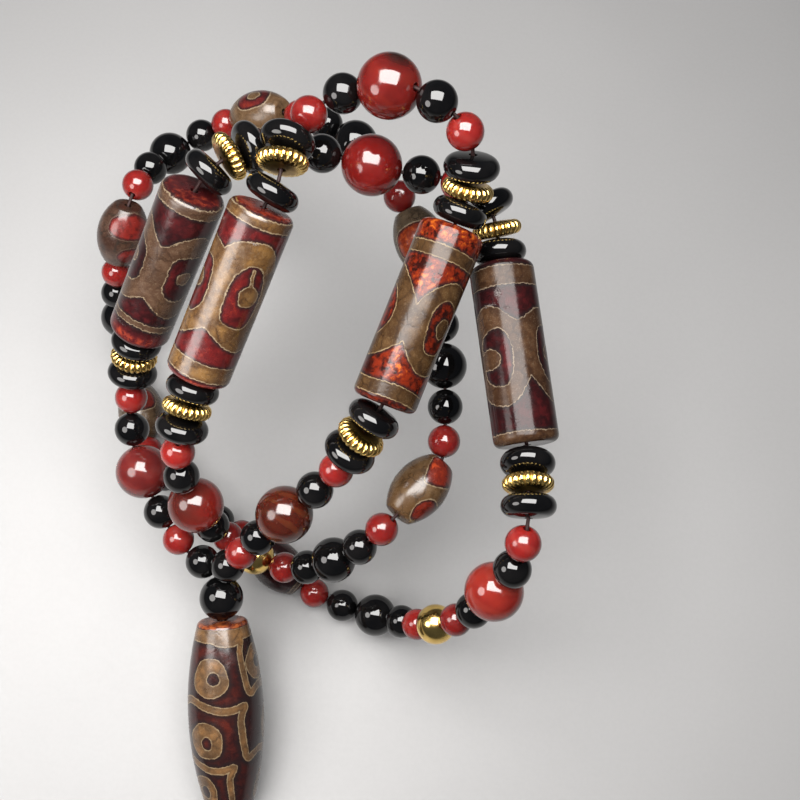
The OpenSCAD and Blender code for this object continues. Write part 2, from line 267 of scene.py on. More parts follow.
def ballOutline(kind):
    return arcLine((0, 0), beadSizes[kind]["across"] / 2, -90, 90, 240)


def discOutline(kind):
    # domed faces that run tangent into a rounded rim
    size = beadSizes[kind]
    dome = domeRadius(kind)
    rise = dome - size["long"] / 2
    rim = size["across"] / 2 - size["edge"]
    turn = np.degrees(np.arctan2(rise, rim))
    upper = np.vstack([
        arcLine((rim, 0), size["edge"], 0, turn, 60),
        arcLine((0, -rise), dome, turn, 90, 90)])
    return mirrored(upper)


def tubeOutline(kind):
    size = beadSizes[kind]
    centre = (size["across"] / 2 - size["edge"], size["long"] / 2 - size["edge"])
    upper = np.vstack([
        [[size["across"] / 2, 0]], arcLine(centre, size["edge"], 0, 90, 60), [[0, size["long"] / 2]]])
    return mirrored(upper)


def barrelOutline(kind):
    # a long arc that runs tangent into a rounded edge
    size = beadSizes[kind]
    belly, edgeOut = barrelArcs(kind)
    middle = size["across"] / 2 - belly
    turn = np.degrees(np.arctan2(size["long"] / 2 - size["edge"], edgeOut - middle))
    upper = np.vstack([
        arcLine((middle, 0), belly, 0, turn, 120),
        arcLine((edgeOut, size["long"] / 2 - size["edge"]), size["edge"], turn, 90, 40),
        [[0, size["long"] / 2]]])
    return mirrored(upper)


def mirrored(upper):
    return np.vstack([upper[:0:-1] * (1, -1), upper])


def boredProfile(outline, bore, spacing):
    # the outline cut at the bore and spaced evenly, with the bore's wall to close the loop
    along = np.r_[0, np.cumsum(np.linalg.norm(np.diff(outline, axis=0), axis=1))]
    half, middle = bore / 2, along[-1] / 2
    lower, upper = along < middle, along > middle
    start = np.interp(half, outline[lower, 0], along[lower])
    end = np.interp(-half, -outline[upper, 0], along[upper])
    steps = max(10, int(round((end - start) / spacing)))
    lip, inside = 0.07, 0.1   # a ring close to each rim keeps the bore's edge crisp
    s = np.r_[start, start + lip, np.linspace(start, end, steps)[1:-1], end - lip, end]
    line = np.stack([np.interp(s, along, outline[:, 0]), np.interp(s, along, outline[:, 1])], 1)
    wall = [[half, line[-1, 1] - inside], [half, 0], [half, line[0, 1] + inside]]
    return np.vstack([line, wall])


# A bead's own directions: its axis, the side that faces the camera, and the third
def beadAxes(start, end):
    centre = (start + end) / 2
    axis = unit(end - start)
    toward = cameraPlace - centre
    side = unit(toward - axis * (toward @ axis))
    return centre, axis, side, np.cross(axis, side)


def turnedSurface(profile, start, end, around, shape=None):
    # point = centre + height along the axis + radius round it, the loop closed both ways
    centre, axis, side, third = beadAxes(start, end)
    angle = np.linspace(-np.pi, np.pi, around, endpoint=False)[None, :]
    radius = profile[:, 0, None] + 0 * angle
    height = profile[:, 1, None] + 0 * angle
    angle = angle + 0 * radius
    if shape:
        radius = shape(radius, height, angle)
    points = (centre + height[..., None] * axis + (radius * np.cos(angle))[..., None] * side
              + (radius * np.sin(angle))[..., None] * third)
    return points.reshape(-1, 3), loopFaces(*radius.shape), (radius.ravel(), height.ravel(), angle.ravel())


def loopFaces(rows, columns, closeRows=True):
    # a face joins each point to the next in its row and the next row, closed round
    i, j = np.meshgrid(np.arange(rows if closeRows else rows - 1), np.arange(columns), indexing="ij")
    i2, j2 = (i + 1) % rows * columns, (j + 1) % columns
    return np.stack([i * columns + j, i * columns + j2, i2 + j2, i2 + j], -1).reshape(-1, 4)


# How fine each kind's surface is: mm along its outline, and points round it
meshSteps = {
    "black": (0.5, 48), "red": (0.45, 48), "largeRed": (0.5, 72), "largeBlack": (0.5, 64),
    "goldBall": (0.45, 64), "junction": (0.5, 64), "rondelle": (0.35, 60), "spacer": (0.22, 220),
    "tube": (0.26, 168), "oval": (0.25, 150), "pendant": (0.28, 200),
}
outlines = {"rondelle": discOutline, "spacer": discOutline, "tube": tubeOutline, "oval": barrelOutline,
            "pendant": barrelOutline}


def beadSurface(kind, start, end, shape=None):
    spacing, around = meshSteps[kind]
    bore = bores["drop" if kind in ("junction", "pendant") else "bead"]
    profile = boredProfile(outlines.get(kind, ballOutline)(kind), bore, spacing)
    return turnedSurface(profile, start, end, around, shape)


def slightlyUneven(seed, amount):
    # pulls the surface in by up to the given share, in slow waves round and along the bead
    def shape(radius, height, angle):
        wave = np.sin(2 * angle + seed + 0.09 * height) + 0.6 * np.sin(3 * angle - 0.16 * height + 2.1 * seed)
        return radius * (1 - amount * (0.5 + wave / 3.2))
    return shape


def writePiece(name, surfaces, material, nodes, attributes=None):
    points, faces, offset = [], [], 0
    for surfacePoints, surfaceFaces in surfaces:
        points.append(surfacePoints)
        faces.append(surfaceFaces + offset)
        offset += len(surfacePoints)
    points, faces = np.vstack(points), np.vstack(faces)
    mesh = bpy.data.meshes.new(name)
    mesh.from_pydata((points * mm).tolist(), [], faces.tolist())
    mesh.polygons.foreach_set("use_smooth", np.ones(len(faces), bool))
    for key, values in (attributes or {}).items():
        attribute = mesh.attributes.new(key, "FLOAT", "POINT")
        attribute.data.foreach_set("value", np.asarray(values, np.float32))
    mesh.materials.append(material)
    mesh.update()
    piece = bpy.data.objects.new(name, mesh)
    bpy.context.collection.objects.link(piece)
    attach(piece, "root")
    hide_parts(*nodes)
    low = np.min([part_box(node)[0] for node in nodes], axis=0)
    high = np.max([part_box(node)[1] for node in nodes], axis=0)
    off = max(np.abs(points.min(0) * mm - low).max(), np.abs(points.max(0) * mm - high).max())
    print(f"{name}: {len(faces) * 2} triangles, box within {off / mm:.2f} mm of its solids")


def indexesOf(kind):
    return [k for k, word in enumerate(words) if word == kind]


# Short calls for shader nodes
def addNode(tree, kind, inputs=(), **settings):
    node = tree.nodes.new(kind)
    for key, value in settings.items():
        setattr(node, key, value)
    for socket, value in (inputs.items() if isinstance(inputs, dict) else enumerate(inputs)):
        if isinstance(value, bpy.types.NodeSocket):
            tree.links.new(value, node.inputs[socket])
        elif value is not None:
            node.inputs[socket].default_value = value
    return node.outputs


def calc(tree, operation, a, b=None, c=None):
    return addNode(tree, "ShaderNodeMath", (a, b, c), operation=operation)[0]


def times(tree, a, b):
    return calc(tree, "MULTIPLY", a, b)


def timesPlus(tree, a, b, c):
    return calc(tree, "MULTIPLY_ADD", a, b, c)


def scaled(tree, vector, amount):
    return addNode(tree, "ShaderNodeVectorMath", {0: vector, "Scale": amount}, operation="SCALE")[0]


def summed(tree, a, b):
    return addNode(tree, "ShaderNodeVectorMath", (a, b), operation="ADD")[0]


def ramp(tree, value, low, high, toLow=0.0, toHigh=1.0):
    inputs = {"Value": value, "From Min": low, "From Max": high, "To Min": toLow, "To Max": toHigh}
    return addNode(tree, "ShaderNodeMapRange", inputs, interpolation_type="SMOOTHSTEP")[0]


def mixColour(tree, share, a, b):
    rgba = lambda c: c if isinstance(c, bpy.types.NodeSocket) else (*c, 1.0)
    return addNode(tree, "ShaderNodeMix", {0: share, 6: rgba(a), 7: rgba(b)}, data_type="RGBA")[2]


def noiseAt(tree, position, scale, detail=3.0, rough=0.55):
    inputs = {"Vector": position, "Scale": scale, "Detail": detail, "Roughness": rough}
    return addNode(tree, "ShaderNodeTexNoise", inputs)


def setSockets(tree, node, linked, plain=None):
    # linked sockets vary over the surface, plain ones are the same everywhere
    for socket, value in linked.items():
        tree.links.new(value, node.inputs[socket])
    for socket, value in (plain or {}).items():
        node.inputs[socket].default_value = value


def newGroup(name, inputs, outputs):
    # an input without a value is a vector; the rest, and every output, are single values
    tree = bpy.data.node_groups.new(name, "ShaderNodeTree")
    for socket, value in inputs.items():
        kind = "NodeSocketVector" if value is None else "NodeSocketFloat"
        item = tree.interface.new_socket(socket, in_out="INPUT", socket_type=kind)
        if value is not None:
            item.default_value = value
    for socket in outputs:
        tree.interface.new_socket(socket, in_out="OUTPUT", socket_type="NodeSocketFloat")
    return tree, addNode(tree, "NodeGroupInput"), tree.nodes.new("NodeGroupOutput")


def useGroup(tree, group, inputs):
    return addNode(tree, "ShaderNodeGroup", inputs, node_tree=group)


def makeMottleGroup():
    # warped noise at three sizes: broad clouds, flakes a millimetre or two across, and fine grain
    tree, given, out = newGroup("stoneMottle", {"Position": None, "Scale": 1.0}, ("Cloud", "Flakes", "Grain"))
    place = scaled(tree, given["Position"], given["Scale"])
    warped = summed(tree, place, scaled(tree, noiseAt(tree, place, 0.55)["Color"], 2.4))
    inputs = {"Vector": warped, "Scale": 0.8}
    cells = addNode(tree, "ShaderNodeTexVoronoi", inputs, feature="SMOOTH_F1")["Distance"]
    patches = noiseAt(tree, warped, 0.62, 5.0, 0.62)["Fac"]
    flakes = timesPlus(tree, ramp(tree, cells, 0.75, 0.1), 0.45, ramp(tree, patches, 0.36, 0.68))
    setSockets(tree, out, {
        "Cloud": ramp(tree, noiseAt(tree, place, 0.24)["Fac"], 0.36, 0.64),
        "Flakes": times(tree, flakes, 0.7),
        "Grain": noiseAt(tree, place, 3.5, 3.0, 0.65)["Fac"]})
    return tree


def makeEtchGroup():
    # the distance to the etching's edge is frayed by noise, then cut into a mask, two lines and a margin
    tree, given, out = newGroup(
        "etchEdge", {"Position": None, "Distance": 0.0, "Ragged": 0.6, "Line": 0.26, "Halo": 0.8},
        ("Etched", "Pale", "Dark", "Margin"))
    fray = calc(tree, "SUBTRACT", noiseAt(tree, given["Position"], 1.3, 4.0, 0.6)["Fac"], 0.5)
    edge = timesPlus(tree, fray, given["Ragged"], given["Distance"])
    breaks = ramp(tree, noiseAt(tree, given["Position"], 0.7, 2.0)["Fac"], 0.3, 0.55, 0.25, 1.0)
    rise = ramp(tree, edge, 0.0, 0.1)
    fall = ramp(tree, calc(tree, "SUBTRACT", edge, given["Line"]), 0.12, -0.05)
    near = ramp(tree, edge, times(tree, given["Halo"], -1.0), -0.08)
    setSockets(tree, out, {
        "Etched": ramp(tree, edge, -0.05, 0.05),
        "Pale": times(tree, times(tree, rise, fall), breaks),
        "Dark": times(tree, ramp(tree, edge, 0.05, -0.05), near),
        "Margin": ramp(tree, edge, 1.3, 0.2)})
    return tree


def makeCrackleGroup():
    # thin lines between warped cells with a soft veil beside them, where a broad noise lets them through
    tree, given, out = newGroup("crackle", {"Position": None, "Size": 3.0, "Width": 0.1}, ("Crack", "Veil"))
    warp = scaled(tree, noiseAt(tree, given["Position"], 0.7)["Color"], 2.2)
    perMm = calc(tree, "DIVIDE", 1.0, given["Size"])
    inputs = {"Vector": summed(tree, given["Position"], warp), "Scale": perMm}
    cells = addNode(tree, "ShaderNodeTexVoronoi", inputs, feature="DISTANCE_TO_EDGE")["Distance"]
    gate = ramp(tree, noiseAt(tree, given["Position"], 0.25, 2.0)["Fac"], 0.38, 0.6)
    setSockets(tree, out, {
        "Crack": times(tree, ramp(tree, cells, given["Width"], 0.0), gate),
        "Veil": times(tree, ramp(tree, cells, 0.34, 0.02), gate)})
    return tree


def makeGlossGroup():
    # smudges from handling and a few fine scratches, as a roughness and a height
    tree, given, out = newGroup(
        "handledGloss", {"Position": None, "Clean": 0.1, "Smudged": 0.2}, ("Roughness", "Height"))
    smudge = ramp(tree, noiseAt(tree, given["Position"], 0.35, 4.0, 0.6)["Fac"], 0.4, 0.72)
    inputs = {"Vector": given["Position"], "Scale": (0.3, 3.4, 1.1), "Rotation": (0.5, 0.7, 0.2)}
    stretched = addNode(tree, "ShaderNodeMapping", inputs)[0]
    scratch = ramp(tree, noiseAt(tree, stretched, 1.6, 2.0, 0.5)["Fac"], 0.66, 0.74)
    rough = timesPlus(tree, smudge, calc(tree, "SUBTRACT", given["Smudged"], given["Clean"]), given["Clean"])
    setSockets(tree, out, {
        "Roughness": timesPlus(tree, scratch, 0.02, rough),
        "Height": times(tree, noiseAt(tree, given["Position"], 0.4, 2.0)["Fac"], 0.6)})
    return tree


stoneMottle, etchEdge, crackle, handledGloss = (
    makeMottleGroup(), makeEtchGroup(), makeCrackleGroup(), makeGlossGroup())


def startMaterial(name, shift=(0, 0, 0)):
    # object coordinates in millimetres, moved so that two pieces never share a pattern
    material = bpy.data.materials.new(name)
    material.use_nodes = True
    tree = material.node_tree
    tree.nodes.clear()
    shader = tree.nodes.new("ShaderNodeBsdfPrincipled")
    output = tree.nodes.new("ShaderNodeOutputMaterial")
    tree.links.new(shader.outputs[0], output.inputs[0])
    place = addNode(tree, "ShaderNodeTexCoord")["Object"]
    inputs = {"Vector": place, "Location": shift, "Scale": (1 / mm,) * 3}
    return material, tree, shader, addNode(tree, "ShaderNodeMapping", inputs)[0]


def readAttribute(tree, name):
    return addNode(tree, "ShaderNodeAttribute", attribute_name=name)["Fac"]


def bumpFrom(tree, height, strength, distance):
    # both are set on the node, the height is what varies
    inputs = {"Height": height, "Strength": strength, "Distance": distance * mm}
    return addNode(tree, "ShaderNodeBump", inputs)[0]


# What an etched stone has unless its own look says otherwise, in mm and in shares of one
etchedLook = {
    "flakeScale": 1.0, "flakeShare": 0.45, "ragged": 0.6, "line": 0.26, "halo": 0.8, "crackSize": 3.2,
    "crackWidth": 0.08, "veil": 0.6, "paleShare": 0.72, "clean": 0.17, "smudged": 0.3, "shine": 0.4,
    "outlineDark": (0.006, 0.004, 0.004), "chip": (0.06, 0.05, 0.048), "pit": (0.009, 0.006, 0.006),
}


def dziMaterial(name, ownLook, shift):
    # pale etched zones with a cream outline over a dark stone that glows red in flakes
    look = {**etchedLook, **ownLook}
    material, tree, shader, place = startMaterial(name, shift)
    mottle = useGroup(tree, stoneMottle, {"Position": place, "Scale": look["flakeScale"]})
    edge = useGroup(tree, etchEdge, {
        "Position": place, "Distance": readAttribute(tree, "etch"), "Ragged": look["ragged"],
        "Line": look["line"], "Halo": look["halo"]})
    cracks = useGroup(tree, crackle, {
        "Position": place, "Size": look["crackSize"], "Width": look["crackWidth"]})
    share = look["flakeShare"]
    glow = timesPlus(tree, mottle["Flakes"], share, 0.45 * (1 - share))
    glow = times(tree, glow, readAttribute(tree, "ember"))
    stone = mixColour(tree, ramp(tree, glow, 0.04, 0.42), look["dark"], look["red"])
    stone = mixColour(tree, ramp(tree, glow, 0.42, 0.82), stone, look["glow"])
    stone = mixColour(tree, ramp(tree, mottle["Grain"], 0.42, 0.3, 0.0, 0.45), stone, look["dark"])
    tan = mixColour(tree, mottle["Cloud"], look["tan"], look["tanDeep"])
    tan = mixColour(tree, ramp(tree, mottle["Grain"], 0.5, 0.75, 0.0, 0.35), tan, look["pale"])
    tan = mixColour(tree, ramp(tree, mottle["Flakes"], 0.3, 0.9, 0.0, 0.6), tan, look["tanDeep"])
    tan = mixColour(tree, times(tree, edge["Margin"], 0.55), tan, look["tanDeep"])
    tan = mixColour(tree, times(tree, cracks["Veil"], look["veil"]), tan, look["tanDeep"])
    tan = mixColour(tree, times(tree, cracks["Crack"], 0.75), tan, look["crack"])
    colour = mixColour(tree, edge["Etched"], stone, tan)
    colour = mixColour(tree, times(tree, edge["Dark"], 0.85), colour, look["outlineDark"])
    colour = mixColour(tree, times(tree, edge["Pale"], look["paleShare"]), colour, look["pale"])
    pits = ramp(tree, times(tree, mottle["Grain"], readAttribute(tree, "wear")), 0.33, 0.5)
    chipped = mixColour(tree, ramp(tree, mottle["Grain"], 0.5, 0.42), look["chip"], look["pit"])
    colour = mixColour(tree, pits, colour, chipped)
    gloss = useGroup(tree, handledGloss, {
        "Position": place, "Clean": look["clean"], "Smudged": look["smudged"]})
    rough = timesPlus(tree, pits, 0.3, timesPlus(tree, edge["Etched"], 0.05, gloss["Roughness"]))
    height = timesPlus(tree, cracks["Crack"], -0.22, gloss["Height"])
    height = timesPlus(tree, pits, -1.2, timesPlus(tree, edge["Pale"], 0.25, height))
    setSockets(tree, shader, {
        "Base Color": colour, "Roughness": rough, "Normal": bumpFrom(tree, height, 0.35, 0.12),
    }, {"IOR": 1.54, "Specular IOR Level": look["shine"]})
    return material


# What a red agate has unless its own look says otherwise; across is the direction its bands follow
redLook = {"bandsPerMm": 1.3, "bandShare": 0.35, "across": (0.3, 0.5, 0.8), "bend": 5.0, "through": 0.3}


def redMaterial(name, ownLook, shift):
    # translucent red agate: soft bands bent by noise, darker clouds, and an optional patch
    look = {**redLook, **ownLook}
    material, tree, shader, place = startMaterial(name, shift)
    mottle = useGroup(tree, stoneMottle, {"Position": place, "Scale": 0.8})
    bend = scaled(tree, noiseAt(tree, place, 0.12, 3.0, 0.5)["Color"], look["bend"])
    line = addNode(tree, "ShaderNodeVectorMath", (summed(tree, place, bend), look["across"]),
                   operation="DOT_PRODUCT")["Value"]
    sine = calc(tree, "SINE", times(tree, line, look["bandsPerMm"]))
    bands = ramp(tree, sine, 0.1, 1.0, 0.0, look["bandShare"])
    colour = mixColour(tree, times(tree, mottle["Cloud"], 0.6), look["red"], look["deep"])
    colour = mixColour(tree, bands, colour, look["band"])
    colour = mixColour(tree, ramp(tree, mottle["Flakes"], 0.5, 1.0, 0.0, 0.15), colour, look["deep"])
    colour = mixColour(tree, readAttribute(tree, "tone"), colour, look["toned"])
    gloss = useGroup(tree, handledGloss, {"Position": place, "Clean": 0.09, "Smudged": 0.2})
    setSockets(tree, shader, {
        "Base Color": colour, "Roughness": gloss["Roughness"],
        "Normal": bumpFrom(tree, gloss["Height"], 0.12, 0.1),
    }, {"IOR": 1.54, "Subsurface Weight": look["through"], "Subsurface Radius": (1.0, 0.16, 0.08),
        "Subsurface Scale": 1.6 * mm})
    return material


def blackMaterial():
    # near-black stone with a faint grey cloud, fingerprints and fine scratches
    material, tree, shader, place = startMaterial("blackOnyx")
    mottle = useGroup(tree, stoneMottle, {"Position": place, "Scale": 0.6})
    colour = mixColour(tree, mottle["Cloud"], (0.0009, 0.0009, 0.001), (0.0022, 0.002, 0.002))
    gloss = useGroup(tree, handledGloss, {"Position": place, "Clean": 0.02, "Smudged": 0.07})
    setSockets(tree, shader, {
        "Base Color": colour, "Roughness": gloss["Roughness"],
        "Normal": bumpFrom(tree, gloss["Height"], 0.06, 0.1),
    }, {"IOR": 1.46})
    return material


def goldMaterial():
    # polished gold colour, dull and brown between the ribs and in smudges
    material, tree, shader, place = startMaterial("goldPolish")
    valley = readAttribute(tree, "valley")
    mottle = useGroup(tree, stoneMottle, {"Position": place, "Scale": 1.4})
    tarnish = timesPlus(tree, mottle["Cloud"], 0.25, times(tree, valley, 0.85))
    colour = mixColour(tree, tarnish, (0.93, 0.64, 0.20), (0.20, 0.095, 0.022))
    gloss = useGroup(tree, handledGloss, {"Position": place, "Clean": 0.14, "Smudged": 0.3})
    height = timesPlus(tree, mottle["Grain"], 0.4, gloss["Height"])
    setSockets(tree, shader, {
        "Base Color": colour, "Roughness": timesPlus(tree, valley, 0.2, gloss["Roughness"]),
        "Normal": bumpFrom(tree, height, 0.15, 0.06),
    }, {"Metallic": 1.0})
    return material


def threadMaterial():
    # waxed fibres that run with the twist, with painted shade darkening the grooves between the plies
    material, tree, shader, place = startMaterial("waxedThread")
    fibre = addNode(tree, "ShaderNodeCombineXYZ", (
        times(tree, readAttribute(tree, "across"), 5.0), readAttribute(tree, "along"), 0.0))[0]
    streaks = noiseAt(tree, fibre, 2.2, 3.0, 0.6)["Fac"]
    colour = mixColour(tree, streaks, (0.022, 0.007, 0.006), (0.01, 0.003, 0.003))
    # painted shade: the colour is darkened in the grooves between the plies
    colour = mixColour(tree, readAttribute(tree, "groove"), colour, (0.004, 0.0015, 0.0015))
    setSockets(tree, shader, {
        "Base Color": colour, "Roughness": ramp(tree, streaks, 0.3, 0.7, 0.5, 0.75),
        "Normal": bumpFrom(tree, streaks, 0.4, 0.04),
    }, {"Specular IOR Level": 0.25})
    return material


blackOnyx, goldPolish, waxedThread = blackMaterial(), goldMaterial(), threadMaterial()
print("shared materials made")


# Etched patterns on an unrolled bead: degrees round from the side that faces the camera, mm up
def smoothLine(points, closed, steps=8):
    # Catmull-Rom line through the given points
    p = np.array(points, float)
    p = np.vstack([p[-1], p, p[:2]]) if closed else np.vstack([2 * p[0] - p[1], p, 2 * p[-1] - p[-2]])
    t = (np.arange(steps) / steps)[None, :, None]
    p0, p1, p2, p3 = p[:-3, None], p[1:-2, None], p[2:-1, None], p[3:, None]
    line = 0.5 * (2 * p1 + (p2 - p0) * t + (2 * p0 - 5 * p1 + 4 * p2 - p3) * t ** 2
                  + (3 * p1 - p0 - 3 * p2 + p3) * t ** 3)
    line = line.reshape(-1, 2)
    return line if closed else np.vstack([line, p[-2]])


def lineDistance(u, v, line):
    # shortest distance to a line of short stretches
    best = np.full(u.shape, 1e9)
    for a, b in zip(line[:-1], line[1:]):
        d = b - a
        t = np.clip(((u - a[0]) * d[0] + (v - a[1]) * d[1]) / max(d @ d, 1e-9), 0, 1)
        best = np.minimum(best, np.hypot(u - a[0] - t * d[0], v - a[1] - t * d[1]))
    return best


def insideDistance(u, v, outline):
    # signed distance to a closed outline, positive inside by the crossing rule
    closed = np.vstack([outline, outline[0]])
    inside = np.zeros(u.shape, bool)
    for a, b in zip(closed[:-1], closed[1:]):
        if a[1] != b[1]:
            crossing = (v > min(a[1], b[1])) & (v <= max(a[1], b[1]))
            inside ^= crossing & (u < a[0] + (v - a[1]) * (b[0] - a[0]) / (b[1] - a[1]))
    return np.where(inside, 1, -1) * lineDistance(u, v, closed)


def roundTheBead(field, u, v, girth, shape):
    # the same shape met from either side of the seam
    return np.max([field(u + turn * girth, v, shape) for turn in (-1, 0, 1)], axis=0)


def eyeOutline(scale, angle, height, halfAngle, halfHeight, square=2.5, seed=0):
    # a squarish oval whose radius wavers a little, as if drawn by hand
    a = np.linspace(0, 2 * np.pi, 48, endpoint=False)
    c, s = np.cos(a), np.sin(a)
    waver = 1 + 0.03 * np.sin(3 * a + seed) + 0.022 * np.sin(5 * a + 2.3 * seed)
    x = np.sign(c) * np.abs(c) ** (2 / square) * halfAngle * scale * waver
    y = np.sign(s) * np.abs(s) ** (2 / square) * halfHeight * waver
    return np.stack([angle * scale + x, height + y], 1)


def lobedEdge(angle, knots):
    # height = cusp + (lobe - cusp) times the sine of the share of the way from cusp to lobe
    a = np.array([k[0] for k in knots], float)
    h = np.array([k[1] for k in knots], float)
    sharp = np.array([k[2] for k in knots], float)
    order = np.argsort(a)
    a, h, sharp = a[order], h[order], sharp[order]
    a = np.r_[a[-1] - 360, a, a[0] + 360]
    h, sharp = np.r_[h[-1], h, h[0]], np.r_[sharp[-1], sharp, sharp[0]]
    turned = (angle - a[0]) % 360 + a[0]
    i = np.clip(np.searchsorted(a, turned, side="right") - 1, 0, len(a) - 2)
    t = (turned - a[i]) / (a[i + 1] - a[i])
    cuspFirst = sharp[i] > 0
    share = np.where(cuspFirst, t, 1 - t)
    power = np.where(cuspFirst, sharp[i], sharp[i + 1])
    cusp, lobe = np.where(cuspFirst, h[i], h[i + 1]), np.where(cuspFirst, h[i + 1], h[i])
    return cusp + (lobe - cusp) * np.sin(share * np.pi / 2) ** np.maximum(power, 0.1)


def softSpots(base, angle, height, spots):
    # each spot adds its amount, fading as a bell curve over its two sizes
    total = base + 0 * angle
    for spotAngle, spotHeight, wide, tall, amount in spots:
        away = (angle - spotAngle + 180) % 360 - 180
        total = total + amount * np.exp(-(away / wide) ** 2 - ((height - spotHeight) / tall) ** 2)
    return np.clip(total, 0, 1.4)


def tubeField(pattern, seed, angle, height, girth):
    # least distance inside both zigzag edges and outside the eyes, joined with the dots, strokes and bands
    scale = girth / 360
    u = angle * scale
    wave = lambda size, rate, phase: size * np.sin(np.radians(angle) * rate + phase + seed)
    around = lambda field, shape: roundTheBead(field, u, height, girth, shape)
    edgeAt = lambda key, a: lobedEdge(a, pattern[key])
    slope = lambda key: np.hypot(1, (edgeAt(key, angle + 0.5) - edgeAt(key, angle - 0.5)) / scale)
    over = (edgeAt("upper", angle) + wave(0.12, 5, 0) - height) / slope("upper")
    under = (height - edgeAt("lower", angle) - wave(0.12, 4, 1)) / slope("lower")
    net = np.minimum(over, under)
    for k, eye in enumerate(pattern["eyes"]):
        net = np.minimum(net, -around(insideDistance, eyeOutline(scale, *eye, seed=seed + k)))
    for k, dot in enumerate(pattern["dots"]):
        net = np.maximum(net, around(insideDistance, eyeOutline(scale, *dot, square=2.1, seed=seed + k + 5)))
    for line, wide in pattern["strokes"]:
        points = smoothLine(np.array(line) * (scale, 1), False)
        net = np.maximum(net, wide + around(lambda a, b, c: -lineDistance(a, b, c), points))
    for low, high, sway in pattern["bands"]:
        shift = wave(sway, 1, 0.4) + wave(sway * 0.5, 3, 1.7)
        net = np.maximum(net, np.minimum(height - low - shift, high + 0.7 * shift - height))
    return net


